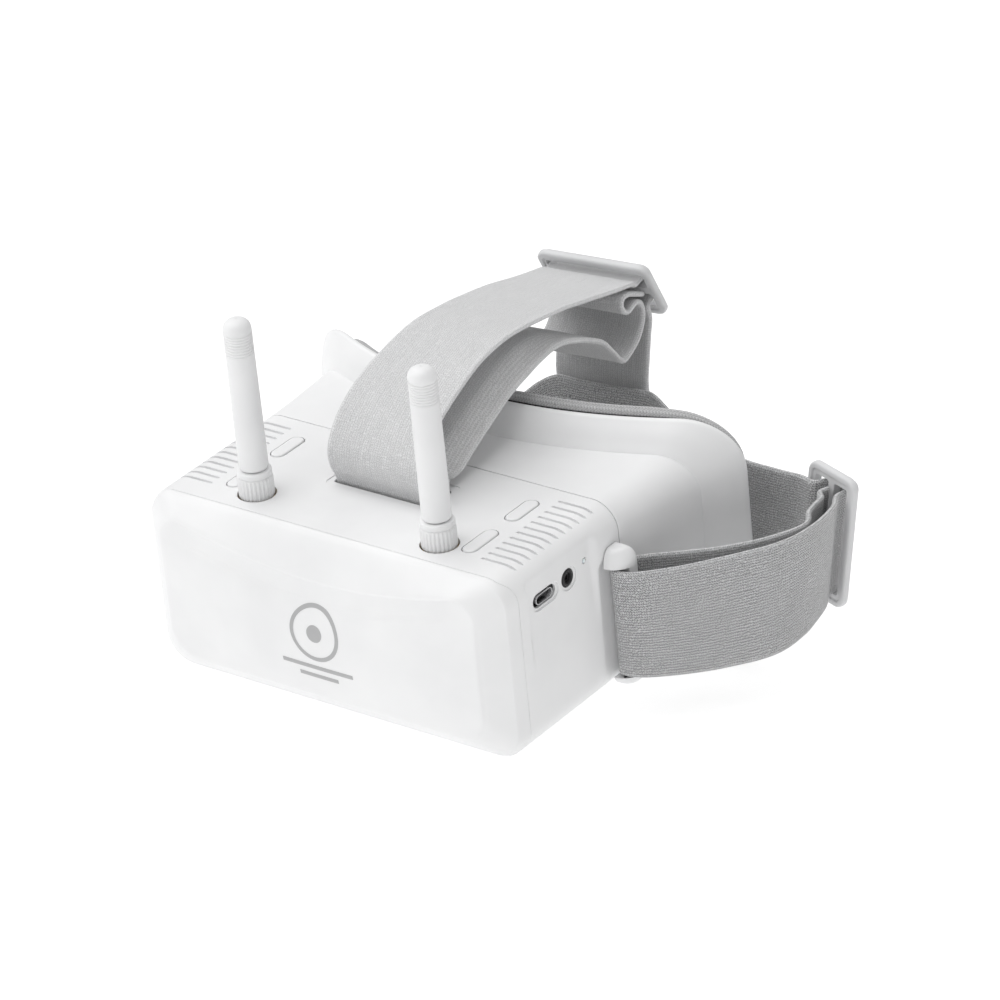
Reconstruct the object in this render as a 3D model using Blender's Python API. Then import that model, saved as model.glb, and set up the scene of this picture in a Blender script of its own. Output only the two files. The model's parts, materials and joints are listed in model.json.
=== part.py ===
"""First-person-view goggles: a boxed viewer with two stub antennas, a face mask and an elastic head strap.

The box frame has X to the right, Y from the front cover to the face, Z up, z = 0 on the flat top and
y = 0 on the cover seam. The whole thing hangs on one empty that pitches it onto its front lower edge
and the cheeks of the mask, the way it stands on a table.
"""
import math

import bmesh
import bpy
from mathutils import Matrix, Vector

MM = 0.001

# stance
PITCH_DEG = 9.45
REST_OFFSET = (-16.203, -79.346, 67.40)      # mm, puts the bottom centre of the whole on the origin

# boxed viewer, mm
BOX_HALF = 76.8
BOX_BOTTOM = -68.3
BOX_DEPTH = 61.0
WALL = 2.6
TOP_RADIUS, LOW_RADIUS = 10.0, 12.0
GAP = 0.3

# mask, mm
RIM_HALF, RIM_TOP, RIM_BOTTOM = 90.3, 9.5, -84.88
RIM_Y, RIM_WRAP = 88.0, 27.0
NOSE_RISE, NOSE_HALF = 27.0, 17.0

# vents, buttons, antennas, ports, mm
VENT_COUNT, VENT_PITCH, VENT_Y0, VENT_WIDTH = 12, 4.0, 10.0, 1.9
BUTTON_X, BUTTON_WIDTH, BUTTON_TRAVEL = 50.4, 5.4, 0.8
BUTTON_SPANS = ((10.8, 27.4), (35.2, 50.6))
ANTENNA = (39.1, 11.5)
ANTENNA_TIP, WHIP_RADIUS, COLLAR_RADIUS = 66.8, 5.15, 6.25
COLLAR_LOW, COLLAR_TOP = -1.2, 9.6
PORT_Z = -15.0
USB_Y, JACK_Y, LIGHT_Y = 19.7, 33.0, 42.3

# webbing and buckles, mm
STRAP_WIDTH, STRAP_THICK = 40.6, 2.0
STRAP_TOP = -20.0
GLIDE_LENGTH, GLIDE_THICK, GLIDE_BAR, GLIDE_SLOT = 26.6, 3.5, 3.2, 7.9
SIDE_GLIDE = dict(at=(114.5, 133.5), along=(0.9397, -0.342))
TOP_GLIDE = dict(at=(163.8, 21.5), along=(0.447, -0.894))

for old in list(bpy.data.objects):
    bpy.data.objects.remove(old, do_unlink=True)

parts = bpy.data.collections.new("fpv_goggles")
cutters = bpy.data.collections.new("cutters")
for group in (parts, cutters):
    bpy.context.scene.collection.children.link(group)

stance = bpy.data.objects.new("stance", None)
stance.rotation_euler = (math.radians(PITCH_DEG), 0, 0)
stance.location = [v * MM for v in REST_OFFSET]
parts.objects.link(stance)

COLOURS = {
    "shell": ((0.86, 0.86, 0.86), 0.38, 0.0), "button": ((0.84, 0.84, 0.84), 0.4, 0.0),
    "webbing": ((0.45, 0.45, 0.46), 0.9, 0.0), "glide": ((0.72, 0.72, 0.73), 0.4, 0.0),
    "foam": ((0.33, 0.33, 0.34), 0.95, 0.0), "hook": ((0.05, 0.05, 0.055), 0.9, 0.0),
    "dark": ((0.03, 0.03, 0.032), 0.6, 0.0), "board": ((0.02, 0.09, 0.05), 0.5, 0.0),
    "metal": ((0.7, 0.7, 0.7), 0.3, 1.0), "gold": ((0.8, 0.6, 0.25), 0.3, 1.0),
    "screen": ((0.015, 0.015, 0.02), 0.15, 0.0), "lens": ((0.8, 0.85, 0.88), 0.05, 0.0),
    "cell": ((0.55, 0.56, 0.58), 0.35, 0.6), "flex": ((0.4, 0.2, 0.04), 0.5, 0.0),
    "lead": ((0.04, 0.04, 0.04), 0.6, 0.0), "light": ((0.9, 0.95, 0.9), 0.2, 0.0),
}


def ease(value, low, high):
    """0 below low, 1 above high, smooth between."""
    t = min(1.0, max(0.0, (value - low) / (high - low)))
    return t * t * (3 - 2 * t)


def side_lean(p):
    """The side loop lifts towards its buckle and its lower edge hangs inwards."""
    x, y, z = p
    share = ease(math.hypot(x - 80, y - 55), 15, 75) * ease(x, 30, 95)
    drop = (z - STRAP_TOP) * share
    ux, uy = SIDE_GLIDE["along"]
    return x + drop * (0.13 * ux - 0.08 * uy), y + drop * (0.13 * uy + 0.08 * ux), z + 2.6 * share


def top_lean(p):
    """The top loop rolls a little to the left."""
    x, y, z = p
    return x, y, z + 0.065 * x * ease(y, 35, 75)


def mesh_object(name, verts, faces, group=parts, at=(0, 0, 0), smooth=True):
    """One closed mesh, given in millimetres about its own origin."""
    mesh = bpy.data.meshes.new(name)
    mesh.from_pydata([[c * MM for c in v] for v in verts], [], faces)
    bm = bmesh.new()
    bm.from_mesh(mesh)
    bmesh.ops.remove_doubles(bm, verts=bm.verts, dist=1e-6)
    bmesh.ops.recalc_face_normals(bm, faces=bm.faces)
    bm.to_mesh(mesh)
    bm.free()
    for face in mesh.polygons:
        face.use_smooth = smooth
    obj = bpy.data.objects.new(name, mesh)
    group.objects.link(obj)
    obj.parent = stance
    obj.location = [c * MM for c in at]
    return obj


def finish(obj, look):
    """Give the node its own material."""
    colour, rough, metal = COLOURS[look]
    mat = bpy.data.materials.new(obj.name)
    mat.use_nodes = True
    shader = mat.node_tree.nodes["Principled BSDF"]
    shader.inputs["Base Color"].default_value = (*colour, 1)
    shader.inputs["Roughness"].default_value = rough
    shader.inputs["Metallic"].default_value = metal
    obj.data.materials.clear()
    obj.data.materials.append(mat)
    return obj


def loft(rings, cyclic=False):
    """Verts and faces of a skin over equal rings; open ends are closed flat."""
    count = len(rings[0])
    verts = [p for ring in rings for p in ring]
    faces = []
    spans = len(rings) if cyclic else len(rings) - 1
    for i in range(spans):
        a, b = i * count, ((i + 1) % len(rings)) * count
        for j in range(count):
            k = (j + 1) % count
            faces.append((a + j, a + k, b + k, b + j))
    if not cyclic:
        for base in (0, (len(rings) - 1) * count):
            ring = verts[base:base + count]
            centre = [sum(p[c] for p in ring) / count for c in range(3)]
            verts.append(centre)
            hub = len(verts) - 1
            faces += [(base + j, base + (j + 1) % count, hub) for j in range(count)]
    return verts, faces


def lathe(profile, segments, centre=(0, 0), ribs=0, rib_depth=0.0):
    """Turned piece about Z from (radius, z) pairs; ribs cuts alternate vertices in on marked rows."""
    rings = []
    for row in profile:
        radius, z = row[0], row[1]
        knurl = rib_depth if len(row) > 2 else 0.0
        ring = []
        for j in range(segments):
            r = radius - (knurl if j % 2 else 0.0)
            angle = 2 * math.pi * j / segments
            ring.append((centre[0] + r * math.cos(angle), centre[1] + r * math.sin(angle), z))
        rings.append(ring)
    return rings


def box_ring(half, top, bottom, r_top, r_low, y, dip=0.0, dip_half=60.0):
    """Rounded rectangle across X and Z at depth y, from the top centre round by the right."""
    corner, wide, tall = 6, 10, 6
    pts = []

    def arc(cx, cz, r, a0):
        for i in range(corner + 1):
            a = math.radians(a0 - 90.0 * i / corner)
            pts.append((cx + r * math.cos(a), cz + r * math.sin(a)))

    def run(p, q, steps):
        for i in range(1, steps):
            t = i / steps
            pts.append((p[0] + (q[0] - p[0]) * t, p[1] + (q[1] - p[1]) * t))

    arc(half - r_top, top - r_top, r_top, 90)
    run((half, top - r_top), (half, bottom + r_low), tall)
    arc(half - r_low, bottom + r_low, r_low, 0)
    run((half - r_low, bottom), (-half + r_low, bottom), wide)
    arc(-half + r_low, bottom + r_low, r_low, -90)
    run((-half, bottom + r_low), (-half, top - r_top), tall)
    arc(-half + r_top, top - r_top, r_top, 180)
    run((-half + r_top, top), (half - r_top, top), wide)
    out = []
    middle = (top + bottom) / 2
    for x, z in pts:
        if dip and z > middle:
            z -= dip * max(0.0, 1 - (x / dip_half) ** 2) * min(1.0, (z - middle) / (top - middle))
        out.append((x, y, z))
    return out


def face_ring(half, top, bottom, r_top, r_low, y0, wrap, nose):
    """The mask outline: it wraps back to the temples and lifts over the nose."""
    out = []
    for x, _, z in box_ring(half, top, bottom, r_top, r_low, 0.0):
        y = y0 + wrap * min(1.0, abs(x) / RIM_HALF) ** 2
        low = max(0.0, (-z - 40.0) / (-bottom - 40.0))
        z += nose * math.exp(-(x / NOSE_HALF) ** 2) * low ** 3
        y -= 4.0 * math.exp(-(x / NOSE_HALF) ** 2) * low ** 3
        y += 8.0 * low ** 2 * (1 - math.exp(-(x / (NOSE_HALF * 1.6)) ** 2)) * max(0.0, 1 - (abs(x) / RIM_HALF) ** 2)
        out.append((x, y, z))
    return out


def blend_rings(a, b, t, u=None):
    u = t if u is None else u
    return [(p[0] + (q[0] - p[0]) * u, p[1] + (q[1] - p[1]) * t, p[2] + (q[2] - p[2]) * u)
            for p, q in zip(a, b)]


def cut(target, cutter_list):
    """Take closed cutters out of a node, then bake and weld."""
    for cutter in cutter_list:
        cutter.hide_render = True
        cutter.display_type = "WIRE"
        mod = target.modifiers.new("cut", "BOOLEAN")
        mod.operation = "DIFFERENCE"
        mod.solver = "EXACT"
        mod.object = cutter
    return target


def prism(name, outline, low, high, axis="y", group=cutters):
    """Closed prism of a 2D outline: the outline is (x, z) for y, (y, z) for x and (x, y) for z."""
    def place(a, b, d):
        return {"y": (a, d, b), "x": (d, a, b), "z": (a, b, d)}[axis]
    rings = [[place(a, b, d) for a, b in outline] for d in (low, high)]
    return mesh_object(name, *loft(rings), group=group, smooth=False)


def stadium(ca, cb, length, width, steps=6, along="b"):
    """Oblong outline about (ca, cb)."""
    r, h = width / 2, (length - width) / 2
    pts = []
    for side in (1, -1):
        for i in range(steps + 1):
            a = math.pi * i / steps
            p = (side * r * math.cos(a), side * (h + r * math.sin(a)))
            pts.append(p if along == "b" else (p[1], p[0]))
    return [(ca + a, cb + b) for a, b in pts]


def circle(ca, cb, r, steps=20):
    return [(ca + r * math.cos(2 * math.pi * i / steps), cb + r * math.sin(2 * math.pi * i / steps))
            for i in range(steps)]


def rect(ca, cb, la, lb, r=0.0, steps=3):
    """Rectangle outline, rounded when r is given."""
    if not r:
        return [(ca - la / 2, cb - lb / 2), (ca + la / 2, cb - lb / 2), (ca + la / 2, cb + lb / 2),
                (ca - la / 2, cb + lb / 2)]
    pts = []
    for sx, sy, a0 in ((1, 1, 0), (-1, 1, 90), (-1, -1, 180), (1, -1, 270)):
        for i in range(steps + 1):
            a = math.radians(a0 + 90 * i / steps)
            pts.append((ca + sx * (la / 2 - r) + r * math.cos(a), cb + sy * (lb / 2 - r) + r * math.sin(a)))
    return pts


def frame_plate(name, outer, inner, low, high, axis="y"):
    """Flat ring between two outlines with the same number of points."""
    def place(a, b, d):
        return {"y": (a, d, b), "x": (d, a, b), "z": (a, b, d)}[axis]
    rings = [[place(a, b, d) for a, b in outline]
             for outline, d in ((outer, low), (outer, high), (inner, high), (inner, low))]
    return mesh_object(name, *loft(rings, cyclic=True), smooth=False)


def spline(points, steps=3):
    """Catmull-Rom line through the points."""
    pts = [Vector(p) for p in points]
    pts = [2 * pts[0] - pts[1]] + pts + [2 * pts[-1] - pts[-2]]
    out = []
    for i in range(1, len(pts) - 2):
        p0, p1, p2, p3 = pts[i - 1:i + 3]
        for s in range(steps):
            t = s / steps
            out.append(0.5 * (2 * p1 + (p2 - p0) * t + (2 * p0 - 5 * p1 + 4 * p2 - p3) * t ** 2
                              + (3 * p1 - p0 - 3 * p2 + p3) * t ** 3))
    out.append(pts[-2])
    return out


def ribbon(name, points, low, high, plane, thick=STRAP_THICK, steps=3, lean=None):
    """A webbing strip standing across its plane from low to high; in XY a third value drops its top edge."""
    line = spline([(*p, 0.0) if len(p) == 2 else p for p in points], steps)
    rings = []
    for i, p in enumerate(line):
        d = line[min(i + 1, len(line) - 1)] - line[max(i - 1, 0)]
        side = Vector((-d.y, d.x, 0)).normalized() * thick / 2
        a, b = p + side, p - side
        if plane == "xy":
            rings.append([(a.x, a.y, low + p.z), (a.x, a.y, high + p.z), (b.x, b.y, high + p.z),
                          (b.x, b.y, low + p.z)])
        else:
            rings.append([(low, a.x, a.y), (high, a.x, a.y), (high, b.x, b.y), (low, b.x, b.y)])
    if lean:
        rings = [[lean(p) for p in ring] for ring in rings]
    return mesh_object(name, *loft(rings))


def tube(name, points, radius, sides=6, steps=3):
    """A thin lead along a line."""
    line = spline(points, steps)
    rings = []
    for i, p in enumerate(line):
        d = (line[min(i + 1, len(line) - 1)] - line[max(i - 1, 0)]).normalized()
        side = d.orthogonal().normalized() if i == 0 else (side - d * side.dot(d)).normalized()
        up = d.cross(side)
        rings.append([tuple(p + radius * (math.cos(2 * math.pi * j / sides) * side
                                          + math.sin(2 * math.pi * j / sides) * up)) for j in range(sides)])
    return mesh_object(name, *loft(rings))


def block(name, x, y, z, look):
    """Plain box between limits."""
    return finish(prism(name, [(x[0], z[0]), (x[1], z[0]), (x[1], z[1]), (x[0], z[1])], y[0], y[1],
                        group=parts), look)


# ---- front cover: a shallow dished cup with a smiling crease across its upper edge
def cover_ring(inset, y, back=0.0):
    """Cover outline drawn in by inset; the top edge dips more towards the middle."""
    return box_ring(BOX_HALF - inset, -0.6 * inset - back, BOX_BOTTOM + 0.9 * inset, TOP_RADIUS + 0.1 * inset,
                    LOW_RADIUS + 0.05 * inset, y, dip=0.62 * inset, dip_half=62.0)


COVER_PROFILE = ((0.0, -GAP / 2), (1.3, -1.9), (2.7, -3.4), (5.6, -6.4), (9.0, -8.8), (12.4, -10.3), (20.0, -11.8),
                 (31.0, -12.9))
cover = [cover_ring(inset, y) for inset, y in COVER_PROFILE]
cover_inside = [cover_ring(inset, y, 0.6) for inset, y in
                ((31.0, -10.7), (20.0, -9.5), (14.0, -7.9), (8.0, -4.6), (4.4, -2.2), (2.5, -GAP / 2))]
finish(mesh_object("front_cover", *loft(list(reversed(cover)) + list(reversed(cover_inside)))), "shell")

# ---- main housing: a rounded sleeve with vents, button, antenna, strap and port holes
sleeve = [box_ring(BOX_HALF - d, -d, BOX_BOTTOM + d, TOP_RADIUS - d, LOW_RADIUS - d, y)
          for d, y in ((0, GAP / 2), (0, 20), (0, 40), (0, BOX_DEPTH - GAP), (WALL, BOX_DEPTH - GAP),
                       (WALL, 40), (WALL, 20), (WALL, GAP / 2))]
housing = mesh_object("main_housing", *loft(sleeve, cyclic=True))
holes = []
for side in (1, -1):
    tag = "r" if side > 0 else "l"
    slot = [(57.6, 3), (71.8, 3), (71.8, -1.9), (66, -0.8), (57.6, -0.8)]
    for i in range(VENT_COUNT):
        y = VENT_Y0 + VENT_PITCH * i
        holes.append(prism(f"vent_{tag}{i}", [(side * a, b) for a, b in slot], y - VENT_WIDTH / 2,
                           y + VENT_WIDTH / 2))
    for i, (y0, y1) in enumerate(BUTTON_SPANS):
        holes.append(prism(f"key_hole_{tag}{i}", stadium(side * BUTTON_X, (y0 + y1) / 2, y1 - y0 + 0.8,
                                                       BUTTON_WIDTH + 0.8), -6, 3, "z"))
    holes.append(prism(f"antenna_hole_{tag}", circle(side * ANTENNA[0], ANTENNA[1], 6.9, 24), -6, 3, "z"))
for i, (y0, y1) in enumerate(((30.2, 34.6), (39.4, 43.8))):
    holes.append(prism(f"strap_slot_{i}", rect(0, (y0 + y1) / 2, 43.6, y1 - y0, 1.5), -6, 3, "z"))
holes.append(prism("port_scoop", rect((12 + 46) / 2, -15.0, 34, 9.5, 4.0), BOX_HALF - 1.0, 84, "x"))
holes.append(prism("usb_hole", stadium(USB_Y, PORT_Z, 12.6, 5.2, along="a"), 70, 84, "x"))
holes.append(prism("jack_hole", circle(JACK_Y, PORT_Z + 0.3, 3.4), 70, 84, "x"))
holes.append(prism("light_hole", circle(LIGHT_Y, -12.6, 1.15, 12), 70, 84, "x"))
finish(cut(housing, holes), "shell")

# ---- face shroud: flares from the sleeve to the flange round the eyes
start = box_ring(BOX_HALF, 0.0, BOX_BOTTOM, TOP_RADIUS, LOW_RADIUS, BOX_DEPTH)
neck = face_ring(82.5, 0.6, -76.5, 15, 18, RIM_Y - 6.5, RIM_WRAP - 2.0, NOSE_RISE * 0.7)
lip = face_ring(RIM_HALF, RIM_TOP, RIM_BOTTOM, 20, 26, RIM_Y, RIM_WRAP, NOSE_RISE)
lip_back = face_ring(RIM_HALF - 0.6, RIM_TOP - 0.6, RIM_BOTTOM + 0.6, 20, 26, RIM_Y + 2.4, RIM_WRAP, NOSE_RISE)
lip_in = face_ring(RIM_HALF - 11, RIM_TOP - 11, RIM_BOTTOM + 11, 12, 17, RIM_Y + 2.4, RIM_WRAP, NOSE_RISE)
neck_in = face_ring(79.6, -2.0, -73.9, 12.5, 16, RIM_Y - 7.0, RIM_WRAP - 2.0, NOSE_RISE * 0.7)
start_in = box_ring(BOX_HALF - WALL, -WALL, BOX_BOTTOM + WALL, 7.4, 9.4, BOX_DEPTH)
shroud = [start, blend_rings(start, neck, 0.35, 0.22), blend_rings(start, neck, 0.7, 0.6), neck,
          blend_rings(neck, lip, 0.55, 0.4), lip, lip_back, lip_in, neck_in,
          blend_rings(start_in, neck_in, 0.7, 0.6), blend_rings(start_in, neck_in, 0.35, 0.22), start_in]
finish(mesh_object("face_shroud", *loft(shroud, cyclic=True)), "shell")


def rim_band(inset, depth, inner):
    """Ring on the flange: inset from the lip, at depth behind it, square to the flange at the temples."""
    out, back = [], depth - 2.4
    for x, y, z in face_ring(RIM_HALF - inset, RIM_TOP - inset, RIM_BOTTOM + inset, 20 - inner * 6, 26 - inner * 7,
                             RIM_Y + depth, RIM_WRAP, NOSE_RISE):
        turn = (abs(x) / RIM_HALF) ** 2
        z -= 4.2 * ease(-x, 15, 55) * ease(z, -45, -5) * min(1.0, back / 4)
        out.append((x - math.copysign(0.55 * back * turn, x), y - 0.14 * back * turn, z))
    return out


finish(mesh_object("pad_hook_ring", *loft([rim_band(1.6, 2.7, 0), rim_band(1.6, 3.9, 0),
                                           rim_band(10.0, 3.9, 1), rim_band(10.0, 2.7, 1)], cyclic=True)), "hook")
foam = [rim_band(1.8, 4.2, 0), rim_band(1.1, 6.0, 0), rim_band(1.8, 8.6, 0), rim_band(4.2, 10.3, 0.4),
        rim_band(8.5, 10.5, 0.8), rim_band(12.0, 9.0, 1), rim_band(12.8, 6.5, 1), rim_band(11.8, 4.2, 1)]
finish(mesh_object("foam_pad", *loft(foam, cyclic=True)), "foam")

# ---- strap lugs: an upright bar on two arms, standing off each side wall
for side, tag in ((1, "right"), (-1, "left")):
    x0 = BOX_HALF + GAP
    ear = [(x0, 50.0), (79.6, 50.4), (82.0, 51.8), (83.9, 54.2), (84.9, 57.2), (84.3, 59.4), (82.6, 60.6), (x0, 60.6)]
    lug = prism("strap_lug_" + tag, [(side * a, b) for a, b in ear], -65.4, -12.8, "z", parts)
    rooms = [prism(f"lug_room_{tag}_{i}", rect(side * ca, cb, la, lb), -62.0, -18.8, "z")
             for i, (ca, cb, la, lb) in enumerate(((80, 49.3, 20, 12.0), (77, 55, 7.6, 24)))]
    finish(cut(lug, rooms), "shell")

# ---- buttons, their switches and boards
for side, tag in ((1, "right"), (-1, "left")):
    for (y0, y1), place in zip(BUTTON_SPANS, ("front", "rear")):
        cy, length = (y0 + y1) / 2, y1 - y0
        rings = []
        for grow, z in ((-1.6, 0.45), (-0.5, 0.3), (0, -0.1), (0, -3.1), (1.5, -3.1), (1.5, -4.0)):
            rings.append([(a, b, z) for a, b in stadium(0, 0, length + grow, BUTTON_WIDTH + grow)])
        finish(mesh_object(f"button_{tag}_{place}", *loft(rings), at=(side * BUTTON_X, cy, 0)), "button")
        rings = [[(a, b, z) for a, b in outline] for outline, z in (
            (rect(side * BUTTON_X, cy, 2.0, 2.0), -5.2), (rect(side * BUTTON_X, cy, 2.2, 2.2), -6.2),
            (rect(side * BUTTON_X, cy, 5.6, 5.6), -6.2), (rect(side * BUTTON_X, cy, 5.6, 5.6), -8.4))]
        finish(mesh_object(f"switch_{tag}_{place}", *loft(rings), smooth=False), "dark")
    low, high = sorted((side * 45.6, side * 55.2))
    block("button_board_" + tag, (low, high), (9, 53), (-9.9, -8.7), "board")

# ---- antennas: whip and knurled collar turn on the threaded jack
whip = [(3.9, COLLAR_TOP + GAP), (WHIP_RADIUS, COLLAR_TOP + 1.3), (WHIP_RADIUS, 30), (4.95, 53.5)]
for i in range(4):
    z = 54.0 + 1.5 * i
    whip += [(4.65, z), (4.65, z + 0.5), (4.93, z + 0.8), (4.93, z + 1.2)]
whip += [(4.9, 61.6), (4.55, 64.0), (3.6, 65.7), (2.0, 66.6), (0.6, ANTENNA_TIP)]
collar = [(3.5, COLLAR_LOW), (5.6, COLLAR_LOW), (COLLAR_RADIUS, COLLAR_LOW + 0.8, 1), (COLLAR_RADIUS, 6.8, 1),
          (5.5, 7.3), (6.0, 7.6), (6.0, 9.0), (5.4, COLLAR_TOP), (1.2, COLLAR_TOP), (1.2, 6.5), (3.5, 6.5)]
jack = [(0.8, 5.8), (3.1, 5.8), (3.1, -2.9), (7.6, -2.9), (7.6, -4.4), (4.0, -4.4), (4.0, -8.2), (0.8, -8.2)]
for side, tag in ((1, "right"), (-1, "left")):
    at = (side * ANTENNA[0], ANTENNA[1], 0)
    finish(mesh_object("antenna_whip_" + tag, *loft(lathe(whip, 20)), at=at), "shell")
    finish(mesh_object("antenna_collar_" + tag, *loft(lathe(collar, 40, ribs=1, rib_depth=0.45), cyclic=True),
                       at=at), "shell")
    finish(mesh_object("antenna_jack_" + tag, *loft(lathe(jack, 16)), at=at), "gold")
    block("receiver_" + tag, tuple(sorted((side * 27, side * 51))), (-0.9, 3.2), (-46, -24), "metal")
    finish(tube("aerial_lead_" + tag, [(at[0], at[1], -8.6), (at[0], 11.0, -15), (at[0], 4.5, -20),
                                       (at[0], 1.6, -23.6)], 0.65), "lead")

# ---- ports on the right wall
usb = prism("usb_c_socket", stadium(USB_Y, PORT_Z, 9.4, 3.6, along="a"), 64.5, 74.9, "x", parts)
finish(cut(usb, [prism("usb_mouth", stadium(USB_Y, PORT_Z, 8.6, 2.8, along="a"), 66.5, 80, "x")]), "metal")
av = prism("av_jack", circle(JACK_Y, PORT_Z + 0.3, 3.05), 62.0, 75.2, "x", parts)
finish(cut(av, [prism("av_bore", circle(JACK_Y, PORT_Z + 0.3, 1.8, 16), 63.5, 80, "x")]), "dark")
finish(prism("charge_light", circle(LIGHT_Y, -12.6, 0.85, 12), 68, 75.6, "x", parts), "light")
block("port_board", (58, 73.6), (11, 47), (-19.9, -18.7), "board")

# ---- screen, light hood, lens and their frames
block("main_board", (-59, 59), (-2.8, -1.2), (-61, -21), "board")
block("battery_pack", (-34, 34), (6.0, 14.0), (-60, -22), "cell")
finish(mesh_object("buzzer", *loft([[(a, y, b) for a, b in circle(-56.0, -53, 4.6, 16)] for y in (-0.9, 3.0)])),
       "dark")
finish(tube("battery_lead", [(20, 4.6, -31), (19.5, 2.6, -28), (14, 0.8, -27), (10, -0.3, -29)], 0.7), "lead")
finish(ribbon("display_flex", [(19.6, -57), (17.4, -61), (12, -62.6), (4, -62.4), (0.4, -59), (-0.9, -56)],
              -10, 10, "yz", thick=0.35), "flex")
block("display_panel", (-47.5, 47.5), (20.0, 22.6), (-61.5, -12.5), "screen")
screw_at = {"display": [(sx * 50.2, z) for sx in (1, -1) for z in (-15, -59)],
            "lens": [(sx * 52.5, z) for sx in (1, -1) for z in (-14, -56)]}
bezel = prism("display_frame", rect(0, -37, 106, 53.4, 2.0), 22.9, 24.9, group=parts)
hood_out, hood_in = rect(0, -37, 94, 50.5, 3.0), rect(0, -37, 91, 47.5, 1.8)
bezel_cuts = [prism("display_window", rect(0, -37, 88.5, 46, 1.0), 20, 28)]
bezel_cuts += [prism(f"display_hole_{i}", circle(x, z, 1.3, 12), 20, 28)
               for i, (x, z) in enumerate(screw_at["display"])]
finish(cut(bezel, bezel_cuts), "dark")
frame_plate("light_hood", hood_out, hood_in, 25.2, 55.6)
finish(bpy.data.objects["light_hood"], "dark")
wall = prism("lens_bulkhead", [(x, z) for x, _, z in box_ring(73.6, -3.2, -63.8, 7.0, 9.0, 0)], 55.9, 57.7,
             group=parts)
wall_cuts = [prism("bulkhead_window", rect(0, -35, 91, 47, 3.0), 50, 62)]
wall_cuts += [prism(f"bulkhead_hole_{i}", circle(x, z, 1.3, 12), 50, 62) for i, (x, z) in enumerate(screw_at["lens"])]
finish(cut(wall, wall_cuts), "dark")
lens = [[(a, y, b) for a, b in rect(0, -35, la, lb, 5.0)] for la, lb, y in
        ((60, 28, 56.6), (86, 44, 57.2), (89, 46, 58.0), (97, 50, 58.0), (97, 50, 60.0), (92, 46, 60.5))]
finish(mesh_object("fresnel_lens", *loft(lens)), "lens")
rest = prism("lens_retainer", rect(0, -35, 112, 56, 6.0), 60.8, 62.6, group=parts)
rest_cuts = [prism("retainer_window", rect(0, -35, 93, 46, 5.0), 58, 66)]
rest_cuts += [prism(f"retainer_hole_{i}", circle(x, z, 1.3, 12), 58, 66) for i, (x, z) in enumerate(screw_at["lens"])]
finish(cut(rest, rest_cuts), "dark")
for group_name, face, reach in (("display", 25.2, 5.6), ("lens", 62.9, 7.4)):
    for i, (x, z) in enumerate(screw_at[group_name]):
        profile = [(0.6, 1.0), (1.9, 0.9), (2.1, 0.5), (2.1, 0.0), (1.0, 0.0), (1.0, -reach), (0.4, -reach - 0.5)]
        rings = [[(p[0], face + p[2], p[1]) for p in ring] for ring in lathe(profile, 12)]
        finish(mesh_object(f"{group_name}_screw_{i + 1}", *loft(rings), at=(x, 0, z)), "metal")

# ---- webbing and tri-glide buckles


def glide_point(glide, u, n, mirror=1):
    """Point in the buckle's plane: u along the strap, n out of its rear face."""
    (cx, cy), (ux, uy) = glide["at"], glide["along"]
    nx, ny = (-uy, ux) if glide is SIDE_GLIDE else (-uy, ux)
    return (mirror * (cx + u * ux + n * nx), cy + u * uy + n * ny)


def tri_glide(name, glide, across, plane, mirror=1):
    """Rounded plate with two slots and a middle bar, standing across the webbing."""
    half, t = GLIDE_LENGTH / 2, GLIDE_THICK / 2
    low, high = across
    span, mid = high - low, (high + low) / 2

    def solid(label, outline, n0, n1, group):
        rings = []
        for n in (n0, n1):
            ring = []
            for u, w in outline:
                a, b = glide_point(glide, u, n, mirror)
                ring.append(side_lean((a, b, w)) if plane == "xy" else top_lean((w, a, b)))
            rings.append(ring)
        return mesh_object(label, *loft(rings), group=group, smooth=False)

    plate = solid(name, rect(0, mid, 2 * half, span, 4.5), -t, t, parts)
    slots = []
    for sign in (1, -1):
        u = sign * (GLIDE_BAR + GLIDE_SLOT) / 2
        slots.append(solid(f"{name}_slot{sign}", rect(u, mid, GLIDE_SLOT, STRAP_WIDTH + 1.6, 1.0), -9, 9, cutters))
    return finish(cut(plate, slots), "glide")


strap_low = STRAP_TOP - STRAP_WIDTH
over, under = 3.1, 2.5      # how far the webbing stands off the middle bar's faces


def sg(u, n):
    return glide_point(SIDE_GLIDE, u, n)


side_loop = [sg(0.7, over), sg(3.6, 2.9), sg(5.6, 0), sg(6.6, -4)]
side_loop += [(124.2, 119), (125, 104), (121, 91), (113, 81), (100, 66.8), (92, 58.9), (87.6, 55.0), (83.5, 53.3),
              (80.1, 53.8), (78.65, 56.6), (78.75, 60.4), (80.4, 63.2), (84.5, 67.5), (92, 74.5), (106, 86.5),
              (113.5, 97), (115.3, 108), (113.6, 118)]
side_loop += [sg(-0.2, -6), sg(0, -under)]
finish(ribbon("side_strap", side_loop, strap_low, STRAP_TOP, "xy", lean=side_lean), "webbing")
tri_glide("side_buckle", SIDE_GLIDE, (-65.3, -14.1), "xy")

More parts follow.
